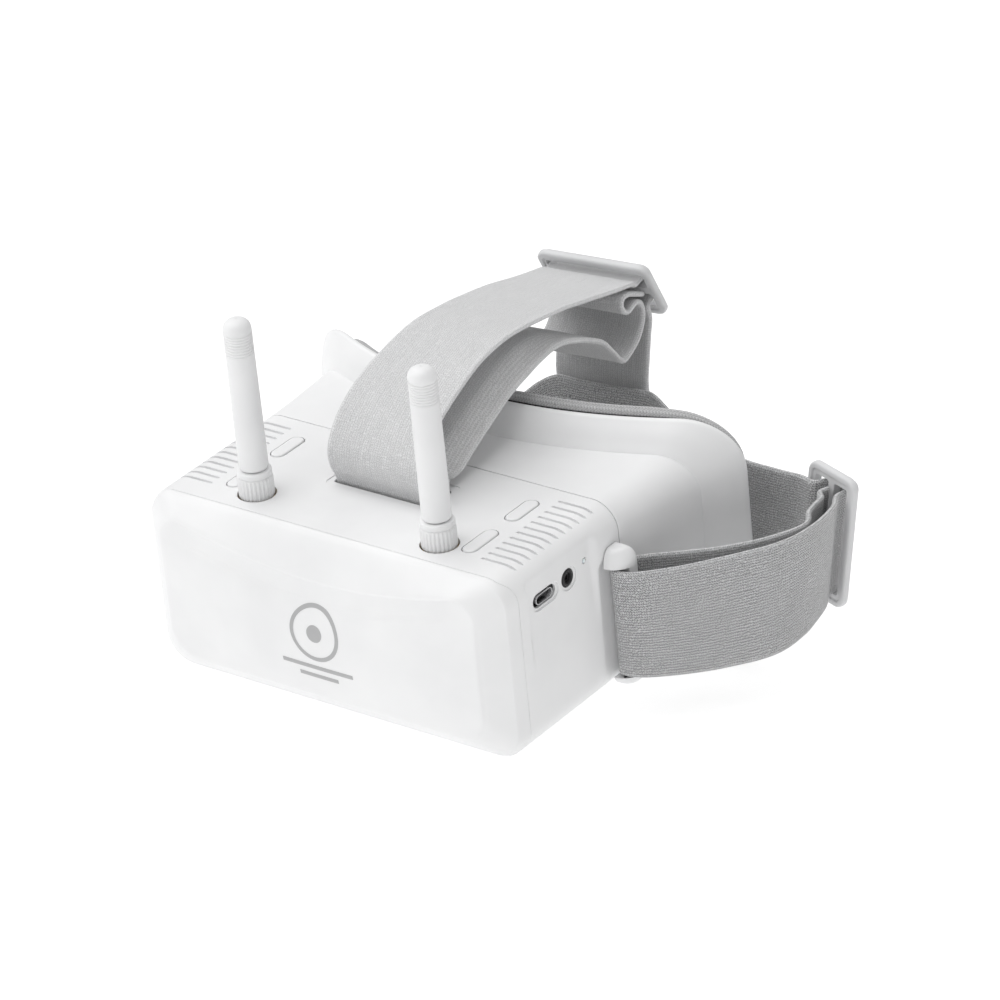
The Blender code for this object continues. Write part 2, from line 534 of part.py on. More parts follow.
# the rear band runs from the buckle round the back of the head, hangs on the left and is sewn round its lug
band = [sg(-0.7, over), sg(-3.6, 2.9), sg(-5.7, 0), sg(-8.2, -3.2), sg(-13.5, -4.0)]
band += [(91, 133.6), (76, 135.5, 0.0), (58, 141, 0.5), (41, 148.6, 1.5), (30, 153.6, 4.0), (24, 155.4, 6.0),
         (18, 156.1, 5.6), (9, 156.2, 4.6), (0, 156.2, 4.0), (-9, 156.2, 3.6), (-18, 156.1, 3.3), (-26, 155.3, -1.0),
         (-36, 153.2, -9.0), (-52, 149.2, -17.0), (-68, 144.8, -19.0), (-82, 139.4, -16.0), (-91, 130.5, -10.0),
         (-94.4, 118, -5.0), (-91.6, 103, -2.0), (-88.6, 86, 0), (-87.6, 70, 0), (-87.1, 59.5, 0),
         (-85.7, 54.2, 0), (-82.6, 53.1, 0), (-79.8, 54.0, 0), (-78.65, 56.8, 0), (-78.8, 60.8, 0),
         (-81.0, 64.2, 0), (-83.6, 69, 0), (-85.0, 77, 0), (-86.0, 85, 0)]
finish(ribbon("rear_band", band, strap_low, STRAP_TOP, "xy", lean=side_lean), "webbing")


def tg(u, n):
    return glide_point(TOP_GLIDE, u, n)


top_loop = [tg(-0.7, over), tg(-3.6, 2.9), tg(-5.6, 0), tg(-6.6, -4)]
top_loop += [(155, 26.8), (146, 28.6), (134, 31.3), (122, 34.2), (112, 36.2), (99, 38.0), (86, 39.2), (75, 38.7),
             (64, 36.4), (54, 33.0), (44.6, 28.8), (36.0, 23.2), (30.8, 17.0), (29.0, 12.0), (29.6, 7.0), (31.6, 2.6),
             (32.4, -0.4), (33.2, -3.4), (35.2, -4.9), (38.2, -4.9), (40.6, -3.6), (41.6, -0.6), (43.4, 4.6), (48, 9.8),
             (56, 14.2), (64.5, 18.2), (73, 22.0), (83, 26.0), (94, 28.2), (104, 27.6), (112, 25.2), (121, 20.4),
             (130, 16.2), (136, 12.4), (141, 6.6), (146.3, 0.6), (151, 1.4), (156.3, 4.8), (159.8, 10.0),
             (160.6, 14.3), (159.4, 17.6), (157.0, 18.9), (154.4, 18.2), (152.0, 17.4), (149.6, 18.6), (148.3, 21.2),
             (149.2, 23.5), (152.4, 23.9), (156.8, 22.2)]
top_loop += [tg(0, -under - 0.6)]
finish(ribbon("top_strap", top_loop, -STRAP_WIDTH / 2, STRAP_WIDTH / 2, "yz", lean=top_lean), "webbing")
tri_glide("top_buckle", TOP_GLIDE, (-24.4, 24.4), "yz")
riser = [tg(0.7, over), tg(3.6, 2.9), tg(5.6, 0), tg(7.4, -3.2), (165.0, 9.6), (163.2, 4.0), (161.0, -5.0),
         (159.4, -12.0), (159.1, -17), (159.1, -24), (159.1, -34)]
finish(ribbon("strap_riser", riser, -STRAP_WIDTH / 2, STRAP_WIDTH / 2, "yz", lean=top_lean), "webbing")
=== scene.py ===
import json
import math

import bmesh
import bpy
import numpy as np
from mathutils import Matrix, Vector, noise


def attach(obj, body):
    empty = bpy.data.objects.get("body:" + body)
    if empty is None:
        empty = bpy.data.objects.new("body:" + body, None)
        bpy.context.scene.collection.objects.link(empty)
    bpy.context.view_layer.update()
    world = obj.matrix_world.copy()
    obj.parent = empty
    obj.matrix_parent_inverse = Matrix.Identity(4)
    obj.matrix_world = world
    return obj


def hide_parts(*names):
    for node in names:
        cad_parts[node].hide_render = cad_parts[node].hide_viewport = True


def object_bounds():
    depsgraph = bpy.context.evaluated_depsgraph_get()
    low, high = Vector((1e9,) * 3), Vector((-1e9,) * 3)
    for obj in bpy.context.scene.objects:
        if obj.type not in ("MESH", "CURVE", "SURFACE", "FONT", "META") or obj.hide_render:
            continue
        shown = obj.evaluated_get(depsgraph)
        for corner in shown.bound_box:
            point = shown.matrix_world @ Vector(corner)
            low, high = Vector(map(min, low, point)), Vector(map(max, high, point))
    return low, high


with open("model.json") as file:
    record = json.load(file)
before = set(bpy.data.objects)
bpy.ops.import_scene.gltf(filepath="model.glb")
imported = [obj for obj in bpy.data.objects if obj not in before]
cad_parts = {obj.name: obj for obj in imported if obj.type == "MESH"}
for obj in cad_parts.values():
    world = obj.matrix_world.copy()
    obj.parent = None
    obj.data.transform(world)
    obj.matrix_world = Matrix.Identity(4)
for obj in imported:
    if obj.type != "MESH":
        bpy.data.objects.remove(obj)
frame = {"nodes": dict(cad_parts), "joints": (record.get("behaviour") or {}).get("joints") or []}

cadBox = [list(corner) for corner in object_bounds()]
nodes = frame["nodes"]
joints = {joint["name"]: joint for joint in frame["joints"]}

# The viewer box leans forward. Its own axes come from the two antenna joints:
# x right, y from the front cover to the face, z up, in millimetres, zero at the middle of the top front edge.
rightFoot = Vector(joints["antenna_right_turn"]["pos_m"])
leftFoot = Vector(joints["antenna_left_turn"]["pos_m"])
boxUp = Vector(joints["antenna_right_turn"]["axis"]).normalized()
boxRight = (rightFoot - leftFoot).normalized()
boxBack = boxUp.cross(boxRight)
antennaSetback = 11.5
antennaX = (rightFoot - leftFoot).length / 2 * 1000
boxZero = (rightFoot + leftFoot) / 2 - boxBack * antennaSetback * 0.001
boxAxes = np.array([boxRight, boxBack, boxUp]) * 0.001


def toRow(points):
    return np.asarray(points, float) @ boxAxes + np.array(boxZero)


class Wire:
    def __init__(self, tree, socket):
        self.tree, self.socket = tree, socket

    def mathNode(self, operation, first, second=None):
        step = self.tree.nodes.new("ShaderNodeMath")
        step.operation = operation
        for place, value in enumerate((first, second)):
            if isinstance(value, Wire):
                self.tree.links.new(value.socket, step.inputs[place])
            elif value is not None:
                step.inputs[place].default_value = value
        return Wire(self.tree, step.outputs[0])

    def __add__(self, other): return self.mathNode("ADD", self, other)
    def __radd__(self, other): return self.mathNode("ADD", other, self)
    def __sub__(self, other): return self.mathNode("SUBTRACT", self, other)
    def __rsub__(self, other): return self.mathNode("SUBTRACT", other, self)
    def __mul__(self, other): return self.mathNode("MULTIPLY", self, other)
    def __rmul__(self, other): return self.mathNode("MULTIPLY", other, self)
    def __truediv__(self, other): return self.mathNode("DIVIDE", self, other)
    def __pow__(self, other): return self.mathNode("POWER", self, other)

    def fold(self, span): return self.mathNode("PINGPONG", self, span)
    def wrap(self): return self.mathNode("FRACT", self)
    def size(self): return self.mathNode("ABSOLUTE", self)


class Finish:
    def __init__(self, name):
        self.material = bpy.data.materials.new(name)
        self.material.use_nodes = True
        self.tree = self.material.node_tree
        self.shader = self.tree.nodes["Principled BSDF"]

    def add(self, kind, settings=None, sockets=None, output=0):
        made = self.tree.nodes.new(kind)
        for key, value in (settings or {}).items():
            setattr(made, key, value)
        for key, value in (sockets or {}).items():
            self.put(made.inputs[key], value)
        return Wire(self.tree, made.outputs[output])

    def put(self, socket, value):
        if isinstance(value, Wire):
            self.tree.links.new(value.socket, socket)
        else:
            socket.default_value = value

    def set(self, **values):
        names = {"colour": "Base Color", "rough": "Roughness", "metal": "Metallic", "coat": "Coat Weight",
            "ior": "IOR", "specular": "Specular IOR Level", "normal": "Normal", "sheen": "Sheen Weight",
            "sheenRough": "Sheen Roughness", "through": "Transmission Weight", "subsurface": "Subsurface Weight",
            "glow": "Emission Color", "glowPower": "Emission Strength"}
        for key, value in values.items():
            self.put(self.shader.inputs[names[key]], value)
        return self

    def place(self, cloth=False):
        if cloth:
            return self.add("ShaderNodeUVMap", {"uv_map": "cloth"})
        return self.add("ShaderNodeTexCoord", output=3)

    def split(self, vector):
        cut = self.tree.nodes.new("ShaderNodeSeparateXYZ")
        self.tree.links.new(vector.socket, cut.inputs[0])
        return [Wire(self.tree, out) for out in cut.outputs]

    def join(self, x, y, z=0.0):
        return self.add("ShaderNodeCombineXYZ", sockets={"X": x, "Y": y, "Z": z})

    def grain(self, scale, vector, detail=2.0, rough=0.5):
        return self.add("ShaderNodeTexNoise", sockets={"Scale": scale, "Vector": vector, "Detail": detail,
            "Roughness": rough})

    def spread(self, value, low, high, toLow=0.0, toHigh=1.0):
        return self.add("ShaderNodeMapRange", {"clamp": True}, {"Value": value, "From Min": low, "From Max": high,
            "To Min": toLow, "To Max": toHigh})

    def blend(self, share, first, second):
        mixed = self.tree.nodes.new("ShaderNodeMix")
        mixed.data_type = "RGBA"
        self.put(mixed.inputs[0], share)
        for place, value in ((6, first), (7, second)):
            self.put(mixed.inputs[place], value if isinstance(value, Wire) else (*value, 1))
        return Wire(self.tree, mixed.outputs[2])

    def bump(self, height, depth, strength=1.0):
        return self.add("ShaderNodeBump", sockets={"Height": height, "Distance": depth, "Strength": strength})


shellLook = dict(light=(0.84, 0.842, 0.845), dark=(0.79, 0.792, 0.797), rough=(0.36, 0.46), grain=0.00001)


def mouldedPlastic(name, look):
    f = Finish(name)
    at = f.place()
    cloud = f.grain(38.0, at, 3.0)
    skin = f.grain(2600.0, at, 2.0, 0.6)
    pits = f.grain(900.0, at, 1.0)
    wear = f.grain(160.0, at, 5.0, 0.65)
    shade = f.blend(f.spread(cloud, 0.3, 0.7), look["dark"], look["light"])
    f.set(colour=shade, rough=f.spread(cloud * 0.6 + wear * 0.4, 0.35, 0.65, *look["rough"]),
        normal=f.bump(skin * 0.7 + pits * 0.3, look["grain"], strength=0.5))
    return f.material


whiteShell = mouldedPlastic("satin_white_shell", shellLook)
whiteAntenna = mouldedPlastic("satin_white_antenna", dict(shellLook, light=(0.83, 0.832, 0.835), rough=(0.42, 0.5)))
whiteKey = mouldedPlastic("satin_white_key", dict(shellLook, light=(0.82, 0.822, 0.826), rough=(0.4, 0.5)))
paleBuckle = mouldedPlastic("pale_grey_buckle", dict(light=(0.68, 0.682, 0.688), dark=(0.62, 0.622, 0.63),
    rough=(0.38, 0.5), grain=0.00002))
mattBlack = mouldedPlastic("matt_black_moulding", dict(light=(0.022, 0.022, 0.024), dark=(0.014, 0.014, 0.015),
    rough=(0.5, 0.68), grain=0.00004))
printGrey = mouldedPlastic("printed_grey_mark", dict(light=(0.44, 0.44, 0.445), dark=(0.4, 0.4, 0.405),
    rough=(0.5, 0.6), grain=0.00001))
bootBlack = mouldedPlastic("black_lead_jacket", dict(light=(0.02, 0.02, 0.02), dark=(0.012, 0.012, 0.012),
    rough=(0.45, 0.6), grain=0.00002))

webbingLook = dict(light=(0.64, 0.642, 0.648), dark=(0.045, 0.0455, 0.047), contrast=0.92, rowPitch=0.001,
    stitchPitch=0.00082, lift=0.00022, edge=0.0187)


def wovenElastic(name, look):
    f = Finish(name)
    along, across, _ = f.split(f.place(cloth=True))
    wander = f.grain(620.0, f.join(along, across), 2.0, 0.6)
    slant = (across / look["rowPitch"] + wander * 0.9).fold(0.5) * 2.0
    loops = (along / look["stitchPitch"] + slant * 0.6 + wander * 2.6).fold(0.5) * 2.0
    rows = (across / look["rowPitch"] + wander * 1.4).fold(0.5) * 2.0
    plait = loops * 0.62 + rows * 0.38
    fleck = f.grain(1700.0, f.join(along * 0.8, across * 1.5), 2.0, 0.7)
    streak = f.grain(420.0, f.join(along * 0.25, across * 2.2), 3.0)
    fuzz = f.grain(5200.0, f.join(along, across), 1.0)
    selvedge = f.spread(across.size(), look["edge"], look["edge"] + 0.0006)
    chevron = f.spread(plait * 0.6 + fleck * 0.52, 0.44, 0.7)
    tone = chevron * look["contrast"] + streak * 0.22 + fuzz * 0.1 + (0.55 - look["contrast"] * 0.55)
    tone = tone + selvedge * 0.12
    weave = f.add("ShaderNodeMix", {"data_type": "FLOAT"},
        {0: selvedge, 2: plait, 3: (along / 0.0007).fold(0.5) * 2.0})
    f.set(colour=f.blend(f.spread(tone, 0.0, 1.0), look["dark"], look["light"]),
        rough=f.spread(fleck, 0.3, 0.7, 0.8, 0.95), normal=f.bump(weave * 0.75 + fuzz * 0.25, look["lift"],
        strength=0.9))
    f.set(sheen=0.35, sheenRough=0.5, specular=0.25)
    return f.material


greyWebbing = wovenElastic("grey_elastic_webbing", webbingLook)
fineWebbing = wovenElastic("grey_fine_webbing", dict(webbingLook, light=(0.8, 0.802, 0.808),
    dark=(0.22, 0.221, 0.224), contrast=0.35))
greyThread = wovenElastic("grey_sewing_thread", dict(webbingLook, light=(0.6, 0.6, 0.61), dark=(0.34, 0.34, 0.345),
    rowPitch=0.0004, stitchPitch=0.0003, lift=0.00006, edge=1.0))

padLook = dict(light=(0.66, 0.66, 0.665), dark=(0.24, 0.24, 0.244), ribPitch=0.0011, plaitPitch=0.0016, lift=0.0003)


def ribbedKnit(name, look):
    f = Finish(name)
    along, around, _ = f.split(f.place(cloth=True))
    lean = (around / look["plaitPitch"]).fold(0.5) * 1.4
    ribs = (along / look["ribPitch"] + lean).fold(0.5) * 2.0
    wales = (around / look["plaitPitch"]).fold(0.5) * 2.0
    fleck = f.grain(1300.0, f.join(along, around), 2.0, 0.7)
    slow = f.grain(90.0, f.place(), 3.0)
    height = ribs * 0.6 + wales * 0.4
    f.set(colour=f.blend(f.spread(height * 0.55 + fleck * 0.5 + slow * 0.15, 0.25, 1.0), look["dark"], look["light"]),
        rough=f.spread(fleck, 0.3, 0.7, 0.85, 0.97), normal=f.bump(height, look["lift"], strength=0.8))
    f.set(sheen=0.5, sheenRough=0.6, specular=0.2)
    return f.material


greyKnit = ribbedKnit("grey_pad_knit", padLook)


def hookTape(name):
    f = Finish(name)
    at = f.place()
    hooks = f.add("ShaderNodeTexVoronoi", {"feature": "F1"}, {"Scale": 1100.0, "Vector": at})
    f.set(colour=f.blend(f.spread(hooks, 0.1, 0.6), (0.035, 0.035, 0.037), (0.012, 0.012, 0.013)),
        rough=f.spread(hooks, 0.0, 0.8, 0.7, 0.9), normal=f.bump(hooks, 0.0002))
    return f.material


def brushedMetal(name, colour, rough=(0.22, 0.4), metal=1.0):
    f = Finish(name)
    x, y, z = f.split(f.place())
    lines = f.grain(700.0, f.join(x * 0.15, y * 6.0, z * 6.0), 3.0)
    dull = f.grain(120.0, f.place(), 2.0)
    dim = tuple(c * 0.72 for c in colour)
    f.set(colour=f.blend(f.spread(lines * 0.5 + dull * 0.5, 0.3, 0.7), dim, colour),
        rough=f.spread(lines, 0.3, 0.7, *rough), metal=metal, normal=f.bump(lines, 0.00002, strength=0.4))
    return f.material


def clearMoulding(name, middle, pitch):
    f = Finish(name)
    smear = f.grain(60.0, f.place(), 4.0)
    away = f.add("ShaderNodeVectorMath", {"operation": "SUBTRACT"}, {0: f.place(), 1: middle})
    reach = [f.add("ShaderNodeVectorMath", {"operation": "DOT_PRODUCT"}, {0: away, 1: axis}, output=1)
        for axis in (boxRight, boxUp)]
    rings = ((reach[0] * reach[0] + reach[1] * reach[1]) ** 0.5 / pitch).wrap()
    f.set(colour=f.blend(smear, (0.86, 0.9, 0.93), (0.95, 0.97, 1.0)), rough=f.spread(smear, 0.3, 0.7, 0.02, 0.07),
        normal=f.bump(rings, 0.00035, strength=0.7))
    f.set(through=1.0, ior=1.49, coat=0.3)
    return f.material


def boardGreen(name):
    f = Finish(name)
    base = (0.012, 0.07, 0.035)
    at = f.place()
    tracks = f.add("ShaderNodeTexBrick", {"offset": 0.35}, {"Scale": 180.0, "Vector": at, "Mortar Size": 0.06,
        "Color1": (*base, 1), "Color2": (*[c * 1.3 for c in base], 1), "Mortar": (0.02, 0.12, 0.06, 1)})
    dust = f.grain(300.0, at, 3.0)
    f.set(colour=tracks, rough=f.spread(dust, 0.3, 0.7, 0.3, 0.5), normal=f.bump(dust, 0.00003))
    return f.material


def screenGlass(name):
    f = Finish(name)
    x, _, z = f.split(f.place())
    cells = (x / 0.0003).fold(0.5) * (z / 0.0003).fold(0.5)
    f.set(colour=f.blend(cells, (0.006, 0.006, 0.008), (0.014, 0.014, 0.018)),
        rough=f.spread(f.grain(200.0, f.place()), 0.3, 0.7, 0.08, 0.16))
    return f.material


def milkyRod(name):
    f = Finish(name)
    haze = f.grain(900.0, f.place(), 2.0)
    f.set(colour=f.blend(haze, (0.78, 0.8, 0.78), (0.88, 0.9, 0.88)), rough=f.spread(haze, 0.3, 0.7, 0.18, 0.3),
        subsurface=0.2)
    return f.material


hookBlack = hookTape("black_hook_tape")
milkyLight = milkyRod("milky_light_rod")
tinnedSteel = brushedMetal("tinned_steel", (0.62, 0.62, 0.63))
goldPlate = brushedMetal("gold_plate", (0.83, 0.62, 0.28))
foilSilver = brushedMetal("cell_foil", (0.6, 0.61, 0.63), (0.3, 0.5))
amberFilm = brushedMetal("amber_flex_film", (0.42, 0.2, 0.05), (0.25, 0.4), 0.0)
clearLens = clearMoulding("clear_lens_moulding", boxZero + boxBack * 0.0605 - boxUp * 0.035, 0.0009)
greenBoard = boardGreen("green_circuit_board")
darkScreen = screenGlass("dark_screen_glass")
print("finishes made")


def settle(obj, material, body="goggles", stands=()):
    obj.data.materials.clear()
    obj.data.materials.append(material)
    for name in stands:
        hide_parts(name)
    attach(obj, body)
    return obj


def placed(name, data):
    obj = bpy.data.objects.new(name, data)
    bpy.context.scene.collection.objects.link(obj)
    return obj


def meshPiece(name, points, faces, uv=None, rounded=True):
    mesh = bpy.data.meshes.new(name)
    mesh.from_pydata([tuple(p) for p in toRow(points)], [], faces)
    if uv is not None:
        layer = mesh.uv_layers.new(name="cloth")
        for face, corners in zip(mesh.polygons, uv):
            for loop, corner in zip(face.loop_indices, corners):
                layer.data[loop].uv = corner
    bm = bmesh.new()
    bm.from_mesh(mesh)
    bmesh.ops.recalc_face_normals(bm, faces=bm.faces)
    bm.to_mesh(mesh)
    bm.free()
    for face in mesh.polygons:
        face.use_smooth = rounded
    return placed(name, mesh)


def skinRings(rings, loop=False):
    count = len(rings[0])
    points = [tuple(p) for ring in rings for p in ring]
    faces = []
    for i in range(len(rings) if loop else len(rings) - 1):
        a, b = i * count, ((i + 1) % len(rings)) * count
        faces += [(a + j, a + (j + 1) % count, b + (j + 1) % count, b + j) for j in range(count)]
    if not loop:
        faces += [tuple(range(base, base + count)) for base in (0, (len(rings) - 1) * count)]
    return points, faces


def bend(p0, p1, p2, p3, t):
    return 0.5 * (2 * p1 + (p2 - p0) * t + (2 * p0 - 5 * p1 + 4 * p2 - p3) * t ** 2 + (3 * p1 - p0 - 3 * p2 + p3)
        * t ** 3)


def curveThrough(points, spacing):
    pts = np.array(points, float)
    pts = np.vstack([2 * pts[0] - pts[1], pts, 2 * pts[-1] - pts[-2]])
    fine = []
    for i in range(1, len(pts) - 2):
        steps = max(2, int(np.linalg.norm(pts[i + 1] - pts[i]) / spacing * 4))
        fine += [bend(*pts[i - 1:i + 3], s / steps) for s in range(steps)]
    fine.append(pts[-2])
    fine = np.array(fine)
    length = np.concatenate([[0], np.cumsum(np.linalg.norm(np.diff(fine, axis=0), axis=1))])
    wanted = np.linspace(0, length[-1], max(3, int(length[-1] / spacing)))
    return np.stack([np.interp(wanted, length, fine[:, k]) for k in range(pts.shape[1])], axis=1), wanted


def addModifier(obj, kind, **settings):
    mod = obj.modifiers.new(kind.lower(), kind)
    for key, value in settings.items():
        setattr(mod, key, value)
    return mod


def applyAll(obj):
    graph = bpy.context.evaluated_depsgraph_get()
    mesh = bpy.data.meshes.new_from_object(obj.evaluated_get(graph))
    obj.modifiers.clear()
    obj.data = mesh
    return obj


def carve(target, tools):
    for tool in tools:
        addModifier(target, "BOOLEAN", object=tool, solver="EXACT", operation="DIFFERENCE")
    applyAll(target)
    for tool in tools:
        bpy.data.objects.remove(tool)
    return target


def joined(objects, name):
    bm = bmesh.new()
    for obj in objects:
        bm.from_mesh(obj.data)
        bpy.data.objects.remove(obj)
    mesh = bpy.data.meshes.new(name)
    bm.to_mesh(mesh)
    bm.free()
    return placed(name, mesh)


def softenEdges(obj, width, angle=32, segments=2):
    addModifier(obj, "BEVEL", width=width * 0.001, segments=segments, limit_method="ANGLE",
        angle_limit=math.radians(angle), harden_normals=False, use_clamp_overlap=True, miter_outer="MITER_ARC")
    applyAll(obj)
    for face in obj.data.polygons:
        face.use_smooth = True
    return obj


def sharpen(obj, angle=40):
    obj.data.set_sharp_from_angle(angle=math.radians(angle))
    return obj


def stack(name, rows, axis="y", loop=False, rounded=True):
    place = "xyz".index(axis)
    rings = [[(*p[:place], d, *p[place:]) for p in line] for line, d in rows]
    return meshPiece(name, *skinRings(rings, loop), rounded=rounded)


def bar(name, outline, low, high, axis="y"):
    return stack(name, [(outline, low), (outline, high)], axis, rounded=False)


def oblong(ca, cb, length, width, steps=14, upright=True):
    r, h = width / 2, (length - width) / 2
    points = []
    for side in (1, -1):
        for i in range(steps + 1):
            turn = math.pi * i / steps
            p = (side * r * math.cos(turn), side * (h + r * math.sin(turn)))
            points.append(p if upright else (p[1], p[0]))
    return [(ca + a, cb + b) for a, b in points]


def disc(ca, cb, r, steps=48):
    return [(ca + r * math.cos(2 * math.pi * i / steps), cb + r * math.sin(2 * math.pi * i / steps))
        for i in range(steps)]


def panel(ca, cb, width, height, r, steps=8):
    points = []
    for sx, sy, start in ((1, 1, 0), (-1, 1, 90), (-1, -1, 180), (1, -1, 270)):
        for i in range(steps + 1):
            turn = math.radians(start + 90 * i / steps)
            points.append((ca + sx * (width / 2 - r) + r * math.cos(turn), cb + sy * (height / 2 - r) + r
                * math.sin(turn)))
    return points


def turned(profile, foot, segments, knurl=0, depth=0.0):
    rings = []
    for row in profile:
        ring = []
        for j in range(segments):
            turn = 2 * math.pi * j / segments
            r = row[0]
            if len(row) > 2:
                r -= depth * row[2] * (0.5 - 0.5 * math.cos(turn * knurl)) ** 1.5
            ring.append((foot[0] + r * math.cos(turn), foot[1] + r * math.sin(turn), row[1]))
        rings.append(ring)
    return rings


def smooth(value, low, high):
    t = min(1.0, max(0.0, (value - low) / (high - low)))
    return t * t * (3 - 2 * t)


# The box: size of the sleeve, and how its outline is walked round, from the middle of the top by the right side
box = dict(half=76.8, bottom=-68.3, depth=61.0, wall=2.6, topRadius=10.0, lowRadius=10.5)
mask = dict(half=91.8, top=10.5, bottom=-84.8, depth=88.0, wrap=27.0, noseRise=27.0, noseHalf=17.0, turn=0.55,
    sag=4.2, crown=2.2)


def outline(half, top, bottom, rTop, rLow, corner=12, wide=44, tall=40):
    pts = []

    def arc(cx, cz, r, start):
        for i in range(corner + 1):
            turn = math.radians(start - 90.0 * i / corner)
            pts.append((cx + r * math.cos(turn), cz + r * math.sin(turn)))

    def run(p, q, steps):
        for i in range(1, steps):
            pts.append((p[0] + (q[0] - p[0]) * i / steps, p[1] + (q[1] - p[1]) * i / steps))

    arc(half - rTop, top - rTop, rTop, 90)
    run((half, top - rTop), (half, bottom + rLow), tall)
    arc(half - rLow, bottom + rLow, rLow, 0)
    run((half - rLow, bottom), (-half + rLow, bottom), wide)
    arc(-half + rLow, bottom + rLow, rLow, -90)
    run((-half, bottom + rLow), (-half, top - rTop), tall)
    arc(-half + rTop, top - rTop, rTop, 180)
    run((-half + rTop, top), (half - rTop, top), wide)
    return pts


def boxRing(half, top, bottom, rTop, rLow, y, **steps):
    return [(x, y, z) for x, z in outline(half, top, bottom, rTop, rLow, **steps)]


def sleeveRing(lift, y, **steps):
    return boxRing(box["half"] - lift, -lift, box["bottom"] + lift, box["topRadius"] - lift, box["lowRadius"] - lift,
        y, **steps)


def faceRing(half, top, bottom, rTop, rLow, y0, wrap, nose):
    ring = []
    for x, z in outline(half, top, bottom, rTop, rLow):
        y = y0 + wrap * min(1.0, abs(x) / mask["half"]) ** 2
        low = max(0.0, (-z - 40.0) / (-bottom - 40.0))
        ridge = math.exp(-(x / mask["noseHalf"]) ** 2)
        z += nose * ridge * low ** 3
        y -= 4.0 * ridge * low ** 3
        y += 8.0 * low ** 2 * (1 - math.exp(-(x / (mask["noseHalf"] * 1.6)) ** 2)) * max(0.0,
            1 - (abs(x) / mask["half"]) ** 2)
        ring.append((x, y, z))
    return ring


def mixRings(a, b, t, u):
    return [(p[0] + (q[0] - p[0]) * u, p[1] + (q[1] - p[1]) * t, p[2] + (q[2] - p[2]) * u) for p, q in zip(a, b)]


def fillRings(rings, steps, loop=False):
    keys = [np.array(ring) for ring in rings]
    count, out = len(keys), []
    for i in range(count if loop else count - 1):
        p1, p2 = keys[i], keys[(i + 1) % count]
        p0 = keys[i - 1] if loop or i else 2 * p1 - p2
        p3 = keys[(i + 2) % count] if loop or i + 2 < count else 2 * p2 - p1
        out += [bend(p0, p1, p2, p3, s / steps) for s in range(steps)]
    if not loop:
        out.append(keys[-1])
    return out


def tidyNormals(obj):
    addModifier(obj, "WEIGHTED_NORMAL", keep_sharp=True, weight=60)
    return applyAll(obj)


# Front cover: a skirt, a soft bevel band and a dished face whose upper crease smiles
cover = dict(profile=((0.0, -0.15), (0.04, -0.75), (0.75, -2.1), (1.7, -3.2), (3.2, -4.6), (5.6, -6.6), (7.6, -8.2),
    (8.8, -8.95), (10.2, -9.45), (13.5, -10.3), (17.5, -11.0), (22.0, -11.5)),
    inner=((20.0, -9.5), (14.0, -7.9), (8.0, -4.6), (4.4, -2.2), (2.5, -0.15)), creaseInset=8.8, smileHalf=62.0,
    puff=3.4, seam=3.3)


def seamAt(x):
    return cover["seam"] * smooth(abs(x), 70.5, 76.8)


def coverRing(inset, y, back=0.0):
    ring = []
    bottom = box["bottom"] + 0.9 * inset
    for x, z in outline(box["half"] - inset, 0.0, bottom, box["topRadius"] + 0.1 * inset, box["lowRadius"] + 0.05
            * inset):
        middle = bottom / 2
        if z > middle:
            near = min(inset, cover["creaseInset"])
            bow = max(0.0, 1 - (x / cover["smileHalf"]) ** 2)
            drop = near * (0.55 + 1.05 * bow) + (inset - near) * (0.5 + 0.12 * bow) + back
            z -= drop * min(1.0, (z - middle) / -middle)
        ring.append((x, y + seamAt(x) * smooth(y, -2.1, -0.15), z))
    return ring


def puffed(ring):
    out = []
    for x, y, z in ring:
        bow = max(0.0, 1 - (x / cover["smileHalf"]) ** 2)
        high, low = -cover["creaseInset"] * (1.55 + 1.05 * bow), box["bottom"] + 0.9 * cover["creaseInset"]
        t = (z - (high + low) / 2) / ((high - low) / 2)
        swellHere = max(0.0, 1 - (x / 68.5) ** 2) ** 0.8 * max(0.0, 1 - abs(t) ** (3.6 if t > 0 else 2.0))
        out.append((x, -9.45 - cover["puff"] * swellHere, z))
    return out


def coverSkin():
    keys = [coverRing(inset, y) for inset, y in cover["profile"]]
    outer = fillRings([ring if inset < 9.5 else puffed(ring) for ring, (inset, _) in zip(keys, cover["profile"])], 4)
    hub, edge = np.mean(keys[-1], axis=0), np.array(keys[-1])
    for share in (0.82, 0.62, 0.42, 0.22, 0.05):
        outer.append(puffed((edge - hub) * share + hub))
    inner = fillRings([coverRing(inset, y, 0.6) for inset, y in cover["inner"]], 2)
    return list(reversed(outer)) + list(reversed(inner))


frontCover = meshPiece("cover_shell", *skinRings(coverSkin()))
sharpen(frontCover, 50)
settle(frontCover, whiteShell, stands=["front_cover"])
print("front cover made")

# Plain printed mark on the cover face: a ring, a dot and two short bars
mark = dict(z=-33.0, y=-30.0, ring=10.4, line=1.5, dot=3.2, barWidth=30.0, barHeight=1.6, barGap=3.6)


